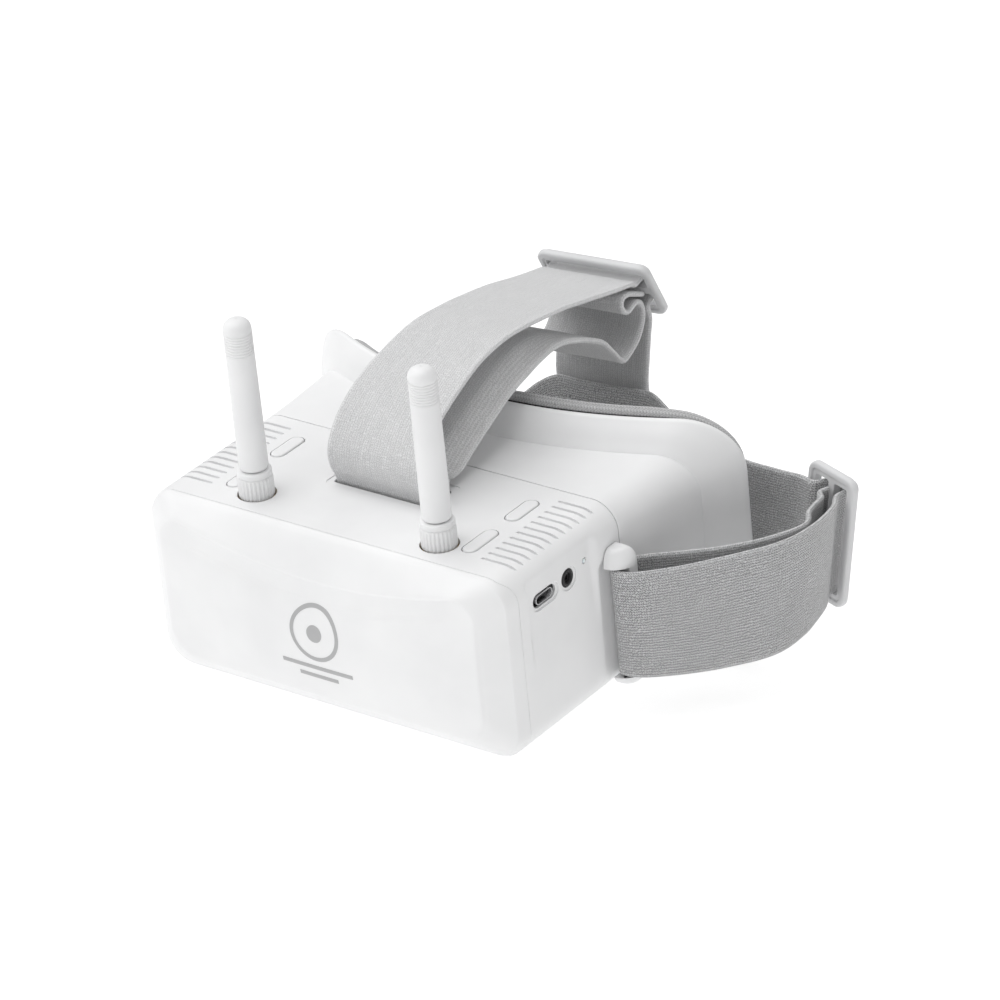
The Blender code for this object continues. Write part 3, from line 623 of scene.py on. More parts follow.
def flatMark():
    points, faces = [], []

    def strip(outer, inner):
        base, count = len(points), len(outer)
        points.extend((a, mark["y"], b) for a, b in (*outer, *inner))
        for i, j in ((i, (i + 1) % count) for i in range(count)):
            faces.append((base + i, base + j, base + count + j, base + count + i))

    for outer, inner, steps in ((mark["ring"], mark["ring"] - mark["line"], 96), (mark["dot"], 0.4, 48),
            (0.4, 0.02, 48)):
        strip(disc(0, mark["z"], outer, steps), disc(0, mark["z"], inner, steps))
    for step, share in ((0, 1.0), (1, 0.55)):
        low = mark["z"] - mark["ring"] - mark["barGap"] * (step + 1)
        half = mark["barWidth"] * share / 2
        for i in range(12):
            a, b = -half + 2 * half * i / 12, -half + 2 * half * (i + 1) / 12
            base, y, high = len(points), mark["y"], low + mark["barHeight"]
            points.extend([(a, y, low), (b, y, low), (b, y, high), (a, y, high)])
            faces.append((base, base + 1, base + 2, base + 3))
    return points, faces


plainMark = meshPiece("cover_print", *flatMark())
caster = frontCover.evaluated_get(bpy.context.evaluated_depsgraph_get())
for vertex in plainMark.data.vertices:
    hit, spot, _, _ = caster.ray_cast(vertex.co, boxBack)
    if hit:
        vertex.co = spot - boxBack * 0.00006
settle(plainMark, printGrey)

# Main housing: the sleeve with its side scoop, strap hollow, vents, key, antenna, strap and port holes
housing = dict(vents=12, ventPitch=4.0, ventStart=10.0, ventWidth=1.25, ventIn=57.6, ventOut=71.8, ventDepth=0.7,
    keyX=50.4, keyWidth=5.4, keySpans=((10.8, 27.4), (35.2, 50.6)), antennaHole=6.9,
    strapSlots=((30.4, 34.4), (39.6, 43.6)), strapSlotWidth=41.8)
ports = dict(z=-15.0, usb=19.7, jack=33.0, jackZ=-14.7, light=42.3, lightZ=-12.6, flat=75.3)


def usbOutline(length, width, steps=16):
    return oblong(ports["usb"], ports["z"], length, width, steps, upright=False)


def jackOutline(r, steps=48):
    return disc(ports["jack"], ports["jackZ"], r, steps)


def wallHollow(x, y, z):
    if abs(x) < box["half"] - 4.0:
        return 0.0
    channel = max(0.0, math.cos(max(-1.0, min(1.0, (y - 51.9) / 5.2)) * math.pi / 2)) ** 1.5
    depth = 1.3 * channel * smooth(z, -67.0, -60.0) * (1 - smooth(z, -19.5, -15.5))
    if x > ports["flat"]:
        shallow = smooth(y, 8.6, 9.4) * (1 - smooth(y, 44.5, 49.0)) * smooth(z, -45.0, -14.0)
        depth = max(depth, (x - ports["flat"]) * shallow)
    return depth


def sleeveRings():
    steps = dict(corner=12, wide=36, tall=92)
    rings = []
    front, rear, slices = 0.15, 60.7, 96
    rows = [(0.35, front), (0.1, front + 0.12)]
    rows += [(0.0, front + (rear - front) * i / slices) for i in range(1, slices)]
    for lift, y in rows + [(0.1, rear - 0.12), (0.35, rear)]:
        ring = sleeveRing(lift, y, **steps)
        rings.append([(x - math.copysign(wallHollow(x, y, z), x), max(y, y + seamAt(x) * (1 - y / 8)), z)
            for x, y, z in ring])
    wall = box["wall"] + 0.6
    for y in (rear, 40.0, 20.0, front):
        rings.append(boxRing(box["half"] - wall, -box["wall"], box["bottom"] + box["wall"], box["topRadius"] - wall,
            box["lowRadius"] - wall, y, **steps))
    return rings


sleeve = meshPiece("housing_shell", *skinRings(sleeveRings(), loop=True))
holes = []
mid, length = (housing["ventIn"] + housing["ventOut"]) / 2, housing["ventOut"] - housing["ventIn"]
bendFrom, bendShare = 0.0668, 0.22
for side in (1, -1):
    for i in range(housing["vents"]):
        y = housing["ventStart"] + housing["ventPitch"] * i
        slit = oblong(side * mid, y, length, housing["ventWidth"], 8, upright=False)
        vent = bar("vent", slit, -housing["ventDepth"], 3, "z")
        for vertex in vent.data.vertices:
            x, up = (vertex.co - boxZero).dot(boxRight), (vertex.co - boxZero).dot(boxUp)
            if up < 0 and abs(x) > bendFrom:
                vertex.co -= boxUp * (abs(x) - bendFrom) * bendShare
        holes.append(vent)
    for y0, y1 in housing["keySpans"]:
        keyOutline = oblong(side * housing["keyX"], (y0 + y1) / 2, y1 - y0 + 0.8, housing["keyWidth"] + 0.8)
        holes.append(bar("keyHole", keyOutline, -6, 3, "z"))
    holes.append(bar("antennaHole", disc(side * antennaX, antennaSetback, housing["antennaHole"], 64), -6, 3, "z"))
holes += [bar("strapSlot", panel(0, (y0 + y1) / 2, housing["strapSlotWidth"], y1 - y0, 1.5), -6, 3, "z")
    for y0, y1 in housing["strapSlots"]]
for mouth in (usbOutline(12.6, 5.2), jackOutline(3.4), disc(ports["light"], ports["lightZ"], 1.15, 24)):
    holes.append(bar("portHole", mouth, 70, 84, "x"))
recesses = [bar("slotRecess", panel(0, y, 46.0, depth, 3.0), -0.3, 3, "z") for y, depth in ((32.3, 9.6), (43.0, 8.0))]
recesses.append(bar("usbRecess", usbOutline(15.2, 7.2, 18), 74.75, 84, "x"))
recesses.append(bar("jackRecess", jackOutline(4.5), 74.85, 84, "x"))
carve(sleeve, [joined(recesses, "recessTools")])
carve(sleeve, [joined(holes, "holeTools")])
softenEdges(sleeve, 0.28, 38, 2)
tidyNormals(sleeve)
settle(sleeve, whiteShell, stands=["main_housing"])
print("housing made", len(sleeve.data.polygons), "faces")


# Face shroud: flares from the sleeve to the flange round the eyes
def maskRing(inset, depth, inner=0.0):
    back, out = max(0.0, depth - 2.4), []
    for x, y, z in faceRing(mask["half"] - inset, mask["top"] - inset, mask["bottom"] + inset, 20 - inner * 6,
            26 - inner * 7, mask["depth"] + depth, mask["wrap"], mask["noseRise"]):
        turn = (abs(x) / mask["half"]) ** 2
        z -= mask["sag"] * smooth(-x, 15, 55) * smooth(z, -45, -5) * min(1.0, back / 4)
        z += mask["crown"] * smooth(x, -12, 14) * (1 - smooth(x, 58, 84)) * smooth(z, -4, 5) * min(1.0, back / 4)
        out.append((x - math.copysign(mask["turn"] * back * turn, x), y - 0.14 * back * turn, z))
    return out


def shroudRings():
    start, startEdge = (sleeveRing(lift, box["depth"]) for lift in (0.0, 0.35))
    neck = faceRing(82.5, 0.6, -76.5, 15, 18, mask["depth"] - 6.5, mask["wrap"] - 2, 18.9)
    lip = maskRing(0.0, 0.0)
    flare = ((0.012, 0.0), (0.14, 0.05), (0.35, 0.2), (0.6, 0.47), (0.84, 0.77), (0.97, 0.95), (0.995, 0.99))
    flange = ((0.03, 0.05), (0.25, 0.27), (0.55, 0.6), (0.84, 0.86), (0.96, 0.96))
    rim = ((0.0, 0.5), (0.05, 1.3), (0.35, 2.0), (1.0, 2.4), (1.8, 2.4))
    outer = [startEdge] + [mixRings(start, neck, *share) for share in flare]
    outer += [mixRings(neck, lip, *share) for share in flange] + [maskRing(*row) for row in rim]
    neckIn = faceRing(79.6, -2.0, -73.9, 12.5, 16, mask["depth"] - 7.0, mask["wrap"] - 2, 18.9)
    wall = box["wall"]
    startIn = boxRing(box["half"] - wall, -wall, box["bottom"] + wall, 7.4, 9.4, box["depth"])
    inner = [maskRing(6.0, 2.4, 0.5), maskRing(10.4, 2.4, 1), maskRing(11.0, 1.8, 1),
        mixRings(maskRing(11.0, 2.4, 1), neckIn, 0.5, 0.5), neckIn, mixRings(startIn, neckIn, 0.7, 0.6),
        mixRings(startIn, neckIn, 0.35, 0.22), startIn]
    return fillRings(outer, 5) + fillRings(inner, 3)


shroud = meshPiece("shroud_shell", *skinRings(shroudRings(), loop=True))
sharpen(shroud, 55)
settle(shroud, whiteShell, stands=["face_shroud"])
hookRows = ((1.8, 2.75), (1.5, 3.3), (1.8, 3.9), (5.6, 3.95, 0.5), (9.8, 3.9, 1), (10.1, 3.3, 1), (9.8, 2.75, 1),
    (5.6, 2.7, 0.5))
hookRing = meshPiece("hook_band", *skinRings(fillRings([maskRing(*row) for row in hookRows], 2, loop=True),
    loop=True))
settle(hookRing, hookBlack, stands=["pad_hook_ring"])
print("shroud made")

# Face pad: foam in a ribbed knit sleeve. Its front stays on the hook ring while the cloth swells a little.
pad = dict(section=((2.6, 4.25, 0), (1.5, 5.2, 0), (1.15, 6.6, 0), (1.5, 8.4, 0), (3.0, 9.9, 0.3), (5.6, 10.5, 0.5),
    (8.6, 10.4, 0.8), (11.2, 9.4, 1), (12.6, 7.7, 1), (12.8, 6.2, 1), (12.0, 4.9, 1), (10.6, 4.25, 1)), pressure=4.0,
    frames=14, cap=0.0011)


def padMesh():
    rings = fillRings([maskRing(*row) for row in pad["section"]], 2, loop=True)
    section, count = len(rings), len(rings[0])
    spread = [0.0]
    for i in range(section):
        spread.append(spread[-1] + float(np.mean(np.linalg.norm(rings[(i + 1) % section] - rings[i], axis=1))))
    walk = [0.0]
    for j in range(count):
        walk.append(walk[-1] + float(np.linalg.norm(rings[6][(j + 1) % count] - rings[6][j])))
    points, faces = skinRings(rings, loop=True)
    uv = [[(walk[j] * 0.001, spread[i] * 0.001), (walk[j + 1] * 0.001, spread[i] * 0.001),
        (walk[j + 1] * 0.001, spread[i + 1] * 0.001), (walk[j] * 0.001, spread[i + 1] * 0.001)]
        for i in range(section) for j in range(count)]
    return meshPiece("knit_pad", points, faces, uv)


def swell(obj, pinned):
    before = [vertex.co.copy() for vertex in obj.data.vertices]
    group = obj.vertex_groups.new(name="held")
    group.add(pinned, 1.0, "ADD")
    cloth = addModifier(obj, "CLOTH")
    cloth.settings.vertex_group_mass = "held"
    cloth.settings.use_pressure = True
    cloth.settings.uniform_pressure_force = pad["pressure"]
    cloth.settings.effector_weights.gravity = 0.0
    cloth.settings.quality = 4
    cloth.settings.mass = 0.25
    cloth.settings.tension_stiffness = 8
    cloth.settings.compression_stiffness = 8
    cloth.point_cache.frame_start, cloth.point_cache.frame_end = 1, pad["frames"]
    for step in range(1, pad["frames"] + 1):
        bpy.context.scene.frame_set(step)
    applyAll(obj)
    bpy.context.scene.frame_set(1)
    for vertex, was in zip(obj.data.vertices, before):
        move = vertex.co - was
        if move.length > pad["cap"]:
            vertex.co = was + move.normalized() * pad["cap"]
    obj.vertex_groups.clear()


knitPad = padMesh()
rowCount = len(knitPad.data.vertices) // (len(pad["section"]) * 2)
swell(knitPad, [i for i in range(len(knitPad.data.vertices)) if i // rowCount in (0, 1, 22, 23)])
settle(knitPad, greyKnit, stands=["foam_pad"])
print("face pad made")

# Strap lugs: a domed ear above and below the strap with a bar between
lug = dict(low=-65.2, high=-12.7, dome=5.6)


def strapLug(side, tag):
    base = [(77.1, 50.4), (79.4, 50.7), (81.8, 52.0), (83.7, 54.2), (84.75, 57.0), (84.6, 59.2), (83.4, 60.4),
        (80.0, 60.75), (77.1, 60.75)]
    line = [tuple(p) for p in curveThrough(base, 0.8)[0]]
    dome, turns = lug["dome"], [math.radians(10 * t) for t in range(10)]
    rows = [(lug["low"] + dome * (1 - math.cos(turn)), dome * (1 - math.sin(turn))) for turn in turns]
    rows += [(lug["high"] - (z - lug["low"]), grow) for z, grow in reversed(rows)]
    middle = np.array([79.9, 55.8])
    body = []
    for z, inset in rows:
        share, ring = min(0.9, inset / 8.2), []
        for x, y in line:
            px = x if x < 77.3 else x + (middle[0] - x) * share
            ring.append((side * px, y + (middle[1] - y) * share, z))
        body.append(ring)
    ear = meshPiece("lug_" + tag, *skinRings(body))
    rooms = [bar("lugRoom", panel(side * 80, 49.3, 20, 12, 0.8), -61.8, -19.5, "z"),
        bar("lugRoom", panel(side * 77, 55, 7.6, 24, 0.8), -61.8, -19.5, "z")]
    carve(ear, rooms)
    softenEdges(ear, 0.6, 40, 3)
    tidyNormals(ear)
    return settle(ear, whiteShell, stands=["strap_lug_" + tag])


for side, tag in ((1, "right"), (-1, "left")):
    strapLug(side, tag)

# Keys: flush oblong caps over their switches
for side, tag in ((1, "right"), (-1, "left")):
    for (y0, y1), place in zip(housing["keySpans"], ("front", "rear")):
        rows = ((-4.6, 0.26), (-3.0, 0.3), (-1.6, 0.3), (-0.85, 0.24), (-0.3, 0.08), (-0.05, -0.2), (0, -0.6),
            (0, -3.1), (1.5, -3.1), (1.5, -4.0))
        cap = stack(f"key_cap_{tag}_{place}", [(oblong(side * housing["keyX"], (y0 + y1) / 2, y1 - y0 + grow,
            max(0.5, housing["keyWidth"] + grow), 16), z + 0.12) for grow, z in rows], "z")
        sharpen(cap, 50)
        settle(cap, whiteKey, f"key_{tag}_{place}", [f"button_{tag}_{place}"])
print("lugs and keys made")

# Antennas: a ribbed tip on a tapered whip, and a knurled collar that turns with it
antenna = dict(tip=66.8, radius=5.15, collar=6.25, collarLow=-1.2, collarTop=9.6, ribs=26, ribDepth=0.5, grooves=8,
    groovePitch=1.05, grooveStart=54.0)


def whipProfile():
    low, r = antenna["collarTop"], antenna["radius"]
    rows = [(0.4, low + 0.3), (4.2, low + 0.3), (4.9, low + 0.7), (r, low + 1.6), (r, 20.0), (5.1, 35.0), (5.0, 48.0),
        (4.96, 53.4)]
    for i in range(antenna["grooves"]):
        z = antenna["grooveStart"] + antenna["groovePitch"] * i
        rows += [(4.95, z), (4.8, z + 0.12), (4.74, z + 0.26), (4.8, z + 0.4), (4.95, z + 0.52)]
    rows += [(4.93, 62.9)]
    for turn in range(1, 10):
        lean = math.radians(turn * 10)
        rows.append((4.93 * math.cos(lean) ** 0.8, 62.9 + (antenna["tip"] - 62.9) * math.sin(lean)))
    return rows + [(0.3, antenna["tip"])]


def collarProfile():
    low, top, r = antenna["collarLow"], antenna["collarTop"], antenna["collar"]
    return [(3.5, low), (5.4, low), (5.8, low + 0.15), (r, low + 0.9, 0.5), (r, low + 1.6, 1), (r, 3.0, 1),
        (r, 6.2, 1), (r - 0.1, 6.7, 0.6), (5.75, 7.15), (5.62, 7.3), (5.62, 7.42), (5.8, 7.55), (6.02, 7.75),
        (6.05, 8.1), (6.05, 9.0), (5.95, 9.35), (5.6, top), (1.2, top), (1.2, 6.5), (3.5, 6.5)]


for side, tag in ((1, "right"), (-1, "left")):
    foot = (side * antennaX, antennaSetback)
    whip = meshPiece("whip_" + tag, *skinRings(turned(whipProfile(), foot, 64)))
    sharpen(whip, 60)
    settle(whip, whiteAntenna, "antenna_" + tag, stands=["antenna_whip_" + tag])
    knurled = turned(collarProfile(), foot, antenna["ribs"] * 8, antenna["ribs"], antenna["ribDepth"])
    collar = meshPiece("collar_" + tag, *skinRings(knurled, loop=True))
    sharpen(collar, 60)
    settle(collar, whiteAntenna, "antenna_" + tag, stands=["antenna_collar_" + tag])
print("antennas made")

# Ports on the right wall: charging socket with its tongue, round jack and charge light
usbShell = bar("usb_shell", usbOutline(9.4, 3.6), 64.5, 74.9, "x")
carve(usbShell, [bar("mouth", usbOutline(8.7, 2.9), 66.5, 80, "x")])
softenEdges(usbShell, 0.12, 40, 2)
settle(usbShell, tinnedSteel, stands=["usb_c_socket"])
usbTongue = bar("usb_tongue", panel(ports["usb"], ports["z"], 6.7, 0.75, 0.3, 4), 66.4, 73.6, "x")
settle(softenEdges(usbTongue, 0.1, 40, 2), mattBlack)
funnelRows = ((12.1, 4.7, 73.3), (12.1, 4.7, 74.0), (10.6, 4.6, 73.9), (9.9, 4.1, 73.3))
usbFunnel = stack("usb_funnel", [(usbOutline(length, width), x) for length, width, x in funnelRows], "x", loop=True)
settle(usbFunnel, mattBlack)
jackRows = [(0.3, 62.0), (3.05, 62.0), (3.05, 74.7), (2.9, 75.0), (2.6, 75.2), (2.1, 75.15), (1.9, 74.8), (1.8, 74.2),
    (1.8, 66.0), (0.3, 66.0)]
jackBody = stack("jack_body", [(jackOutline(r), x) for r, x in jackRows], "x")
settle(sharpen(jackBody, 50), mattBlack, stands=["av_jack"])
rimRows = ((1.76, 67.5), (1.76, 73.8), (1.5, 73.8), (1.5, 67.5))
jackRim = stack("jack_contact", [(jackOutline(r, 40), x) for r, x in rimRows], "x", loop=True)
settle(sharpen(jackRim, 50), tinnedSteel)
lightRows = [(0.83, 68.0), (0.83, 75.1), (0.76, 75.4), (0.5, 75.58), (0.15, 75.62)]
lightPipe = stack("light_rod", [(disc(ports["light"], ports["lightZ"], r, 24), x) for r, x in lightRows], "x")
settle(sharpen(lightPipe, 60), milkyLight, stands=["charge_light"])
print("ports made")

# Webbing: one elastic band section run along each strap's path, the selvedge a little thicker than the middle
band = dict(width=40.6, thick=2.0, top=-20.0, step=0.75, wave=0.55, across=22)
sideGlide = dict(at=(115.9, 133.0), along=(0.9397, -0.342), span=(-65.3, -14.1))
topGlide = dict(at=(163.8, 21.5), along=(0.447, -0.894), span=(-23.8, 25.0))
glideCut = dict(length=26.0, thick=3.8, bar=3.2, slot=7.2, corner=4.5)


def glidePoint(glide, u, n):
    (cx, cy), (ux, uy) = glide["at"], glide["along"]
    return (cx + u * ux - n * uy, cy + u * uy + n * ux)


def alongGlide(glide, *spots):
    return [glidePoint(glide, u, n) for u, n in spots]


# The side loop lifts towards its buckle with its lower edge hanging inwards; the top loop rolls a little
def leanSide(p):
    x, y, z = p
    reach, near = math.hypot(x - 80, y - 55), smooth(x, 30, 95)
    drop, (ux, uy) = (z - band["top"]) * smooth(reach, 42, 80) * near, sideGlide["along"]
    return (x + drop * (0.13 * ux - 0.08 * uy), y + drop * (0.13 * uy + 0.08 * ux), z + 2.6 * smooth(reach, 15, 75)
        * near)


def leanTop(p):
    x, y, z = p
    return x, y, z + 0.065 * x * smooth(y, 35, 75)


def bandSection():
    half, reach = band["thick"] / 2, band["width"] / 2 - band["thick"] / 2
    rows = []
    for i in range(band["across"] + 1):
        w = -reach + 2 * reach * i / band["across"]
        rows.append((w, half * (0.84 + 0.16 * smooth(abs(w), reach - 2.6, reach - 0.9)), w))
    for i in range(1, 6):
        turn = math.radians(90 - 30 * i)
        rows.append((reach + half * math.cos(turn), half * math.sin(turn), reach + half * min(i, 6 - i)
            * math.pi / 6))
    rows += [(w, -n, w) for w, n, _ in reversed(rows[:band["across"] + 1])]
    rows += [(-w, n, -v) for w, n, v in reversed(rows[band["across"] + 1:band["across"] + 6])]
    return rows


def webbing(name, path, middle, plane, calm, stands, seed=0.0, curl=0.0, droop=0.0):
    line, walk = curveThrough([(*p, 0.0) if len(p) == 2 else p for p in path], band["step"])
    section = bandSection()
    calmSpots = np.array(calm, float)
    rings = []
    for i, (p, s) in enumerate(zip(line, walk)):
        d = line[min(i + 1, len(line) - 1)] - line[max(i - 1, 0)]
        d /= max(1e-9, math.hypot(d[0], d[1]))
        side = np.array([-d[1], d[0]])
        near = np.min(np.linalg.norm(calmSpots - p[:2], axis=1))
        sway = band["wave"] * smooth(near, 9.0, 32.0)
        ring = []
        for w, n, _ in section:
            slow, quick = (s * 0.035, w * 0.03, seed), (s * 0.11, w * 0.09, seed + 7)
            lift = sway * (noise.noise(Vector(slow)) + 0.35 * noise.noise(Vector(quick)))
            a, b = p[:2] + side * (n + lift)
            across = middle + w + p[2] + sway * 0.4 * noise.noise(Vector((s * 0.03, 0.0, seed + 3)))
            across -= droop * math.sin(math.pi * min(1.0, 2 * s / walk[-1])) * smooth(-w, -18, 20)
            if s > walk[-1] / 2 and curl:
                b -= curl * smooth(w, 11.5, 20.5) * smooth(b, 3, 12) * (1 - smooth(a, 88, 126))
            ring.append(leanSide((a, b, across)) if plane == "xy" else leanTop((across, a, b)))
        rings.append(ring)
    points, faces = skinRings(rings)
    count = len(section)
    reach = [row[2] * 0.001 for row in section]
    uv = [[(walk[i] * 0.001, reach[j]), (walk[i] * 0.001, reach[(j + 1) % count]),
        (walk[i + 1] * 0.001, reach[(j + 1) % count]), (walk[i + 1] * 0.001, reach[j])] for i in range(len(line) - 1)
        for j in range(count)]
    uv += [[(walk[end] * 0.001, reach[j]) for j in range(count)] for end in (0, -1)]
    strap = meshPiece(name, points, faces, uv)
    return settle(strap, greyWebbing if plane == "xy" else fineWebbing, stands=stands)


stitch = dict(length=2.3, pitch=3.1, radius=0.28)


def stitchRow(points):
    line, walk = curveThrough(points, 0.4)
    pitch, stitches = stitch["pitch"], []
    for k in range(int(walk[-1] / pitch)):
        s = (k + 0.5) * pitch
        mid = np.array([np.interp(s, walk, line[:, c]) for c in range(3)])
        tip = np.array([np.interp(s + 0.2, walk, line[:, c]) for c in range(3)])
        along = (tip - mid) / np.linalg.norm(tip - mid)
        side = np.cross(along, [0.31, 0.52, 0.79])
        side /= np.linalg.norm(side)
        over = np.cross(along, side)
        rings = []
        for t in (-1.0, -0.8, -0.4, 0.0, 0.4, 0.8, 1.0):
            size = stitch["radius"] * math.sqrt(max(0.04, 1 - t ** 4))
            rings.append([tuple(mid + along * t * stitch["length"] / 2 + side * size * math.cos(a) + over * size
                * math.sin(a)) for a in [math.pi * j / 4 for j in range(8)]])
        stitches.append(rings)
    return stitches


def sewn(name, rows):
    verts, faces = [], []
    for rings in [rings for row in rows for rings in stitchRow(row)]:
        p, f = skinRings(rings)
        faces += [tuple(i + len(verts) for i in face) for face in f]
        verts += p
    return settle(meshPiece(name, verts, faces), greyThread)


strapMiddle = band["top"] - band["width"] / 2

sideLoop = alongGlide(sideGlide, (0.7, 3.1), (3.6, 2.9), (5.6, 0), (6.6, -4))
sideLoop += [(124.2, 119), (125, 104), (121, 91), (113, 81), (100, 66.6), (92, 58.5), (87.3, 54.4), (83.4, 52.5),
    (80.2, 52.2), (78.3, 53.9), (78.05, 57.2), (79.3, 61.4), (84.0, 66.9), (92, 73.0), (104, 81.6), (112.6, 89.6),
    (118.8, 98), (121.6, 105), (120.8, 109.6), (118.3, 113.4), (117.2, 118.6), (116.6, 124),
    *alongGlide(sideGlide, (0, -6), (0, -2.5))]
webbing("side_webbing", sideLoop, strapMiddle, "xy", [(82, 56), sideGlide["at"]], ["side_strap"], 1.0, droop=2.4)

rearLoop = alongGlide(sideGlide, (-0.7, 3.1), (-3.6, 2.9), (-5.6, 0), (-7.2, -3.4), (-13.5, -4.4))
rearLoop += [(91, 133.6), (76, 135.5, 0.0), (58, 141, 0.5), (41, 148.6, 1.5), (30, 153.6, 4.0), (24, 155.4, 6.0),
    (18, 156.1, 5.6), (9, 156.2, 4.6), (0, 156.2, 4.0), (-9, 156.2, 3.6), (-18, 156.1, 3.3), (-26, 155.3, -1.0),
    (-36, 153.2, -9.0), (-52, 149.2, -17.0), (-68, 144.8, -19.0), (-82, 139.4, -16.0), (-91, 130.5, -10.0),
    (-94.4, 118, -5.0), (-91.6, 103, -2.0), (-88.6, 86, 0), (-87.6, 70, 0), (-87.1, 59.5, 0), (-85.7, 54.2, 0),
    (-82.6, 53.1, 0), (-79.8, 54.0, 0), (-78.65, 56.8, 0), (-78.8, 60.8, 0), (-81.0, 64.2, 0), (-83.6, 69, 0),
    (-85.0, 77, 0), (-86.0, 85, 0)]
webbing("rear_webbing", rearLoop, strapMiddle, "xy", [(-82, 56), sideGlide["at"], (0, 156.2), (-87, 75)],
    ["rear_band"], 2.0)

topLoop = alongGlide(topGlide, (-0.7, 3.1), (-3.6, 2.9), (-5.6, 0), (-6.6, -4))
topLoop += [(155, 26.8), (146, 28.6), (134, 31.3), (122, 34.2), (112, 36.2), (99, 38.0), (86, 39.2), (75, 38.7),
    (64, 36.4), (54, 33.0), (44.6, 28.8), (36.0, 23.2), (30.8, 17.0), (29.0, 12.0), (29.6, 7.0), (31.6, 2.6),
    (32.4, -0.4), (33.2, -3.4), (35.2, -4.9), (38.2, -4.9), (40.6, -3.6), (41.6, -0.6), (43.4, 4.6), (48, 9.8),
    (56, 14.2), (64.5, 18.2), (73, 22.0), (83, 26.0), (94, 28.2), (104, 27.6), (112, 25.2), (121, 20.4), (130, 16.2),
    (136, 12.4), (141, 6.6), (146.3, 0.6), (151, 1.4), (156.3, 4.8), (159.8, 10.0), (160.6, 14.3), (159.4, 17.6),
    (157.0, 18.9), (154.4, 18.2), (152.0, 17.4), (149.6, 18.6), (148.3, 21.2), (149.2, 23.5), (152.4, 23.9),
    (156.8, 22.2), glidePoint(topGlide, 0, -2.8)]
webbing("top_webbing", topLoop, 0.0, "yz", [(37, 0), topGlide["at"], (154, 18)], ["top_strap"], 3.0, curl=7.5)

riserLine = [*alongGlide(topGlide, (0.7, 3.1), (3.6, 2.9), (5.5, 0), (6.3, -3.2)), (164.4, 9.2), (163.1, 4.0),
    (161.0, -5.0), (159.4, -12.0), (159.1, -17), (159.1, -24), (159.1, -34)]
webbing("riser_webbing", riserLine, 0.0, "yz", [topGlide["at"], (159.1, -22), (162, 0)], ["strap_riser"], 4.0)
sewn("riser_stitching", [[leanTop((x, y, z)) for x in (-17.5, 0.0, 17.5)]
    for y, z in ((162.85, 6.3), (160.2, -24.0), (160.2, -31.5), (155.1, -24.0), (155.1, -31.5))])
sewn("left_stitching", [[(-84.35, 75.0, strapMiddle - 17), (-84.35, 75.0, strapMiddle + 17)],
    [(-85.05, 82.5, strapMiddle - 17), (-85.05, 82.5, strapMiddle + 17)]])
print("webbing made")


# Buckles: a plate with a raised rounded border, two slots and a plain middle bar between them
def buckle(name, glide, plane, body, stands):
    t = glideCut["thick"] / 2
    low, high = glide["span"]
    mid, span = (low + high) / 2, high - low

    def solid(outlineRows):
        rings = []
        for line, n in outlineRows:
            ring = []
            for u, w in line:
                a, b = glidePoint(glide, u, n)
                ring.append(leanSide((a, b, w)) if plane == "xy" else leanTop((w, a, b)))
            rings.append(ring)
        return meshPiece(name, *skinRings(rings))

    def plateRow(inset, n):
        return panel(0, mid, glideCut["length"] - 2 * inset, span - 2 * inset, max(1.2, glideCut["corner"] - inset),
            10), n

    border = [(3.0, -t + 0.55), (2.6, -t + 0.5), (2.35, -t + 0.15), (2.1, -t), (1.1, -t), (0.55, -t + 0.12),
        (0.16, -t + 0.45), (0, -t + 0.95), (0, 0.1), (0.1, 0.42), (0.42, 0.66), (0.95, 0.72), (1.15, 0.8),
        (1.22, 1.0), (1.35, 1.45), (1.7, t - 0.06), (2.1, t), (2.9, t), (3.15, t - 0.12), (3.35, t - 0.4),
        (3.6, t - 0.45)]
    plate = solid([plateRow(inset, n) for inset, n in border])
    slots = [solid([(panel(sign * (glideCut["bar"] + glideCut["slot"]) / 2, mid, glideCut["slot"],
        band["width"] + 1.6, 1.0), n) for n in (-9, 9)]) for sign in (1, -1)]
    carve(plate, slots)
    softenEdges(plate, 0.35, 42, 3)
    tidyNormals(plate)
    return settle(plate, paleBuckle, body, [stands])


buckle("side_glide", sideGlide, "xy", "side_slider", "side_buckle")
buckle("top_glide", topGlide, "yz", "top_slider", "top_buckle")
print("buckles made")

# Inside the mask: bulkhead, lens with its turned rings, retainer and screws
optics = dict(z=-35.0, window=(91, 47), lens=(97, 50), retainer=(112, 56), retainerWindow=(93, 46),
    screws=((52.5, -14), (-52.5, -14), (52.5, -56), (-52.5, -56)))


def plateCuts(window, corner, steps, low, high):
    screwHole = 1.3
    cuts = [bar("window", panel(0, optics["z"], *optics[window], corner, steps), low, high)]
    return cuts + [bar("hole", disc(x, z, screwHole, 20), low, high) for x, z in optics["screws"]]


bulkhead = bar("bulkhead_plate", outline(73.6, -3.2, -63.8, 7.0, 9.0), 55.9, 57.7, "y")
cuts = plateCuts("window", 3.0, 8, 50, 62)
cuts += [bar("groove", panel(side * 65.4, -34, 3.2, 36, 1.6), 57.2, 62) for side in (1, -1)]
cuts += [bar("groove", panel(side * 30, z, 30, 1.6, 0.8), 57.2, 62) for side in (1, -1) for z in (-5.6, -61.6)]
carve(bulkhead, cuts)
settle(tidyNormals(softenEdges(bulkhead, 0.3, 40, 2)), mattBlack, stands=["lens_bulkhead"])

retainer = bar("retainer_plate", panel(0, optics["z"], *optics["retainer"], 6.0, 12), 60.8, 62.6)
carve(retainer, plateCuts("retainerWindow", 5.0, 12, 58, 66))
settle(tidyNormals(softenEdges(retainer, 0.45, 40, 3)), mattBlack, stands=["lens_retainer"])

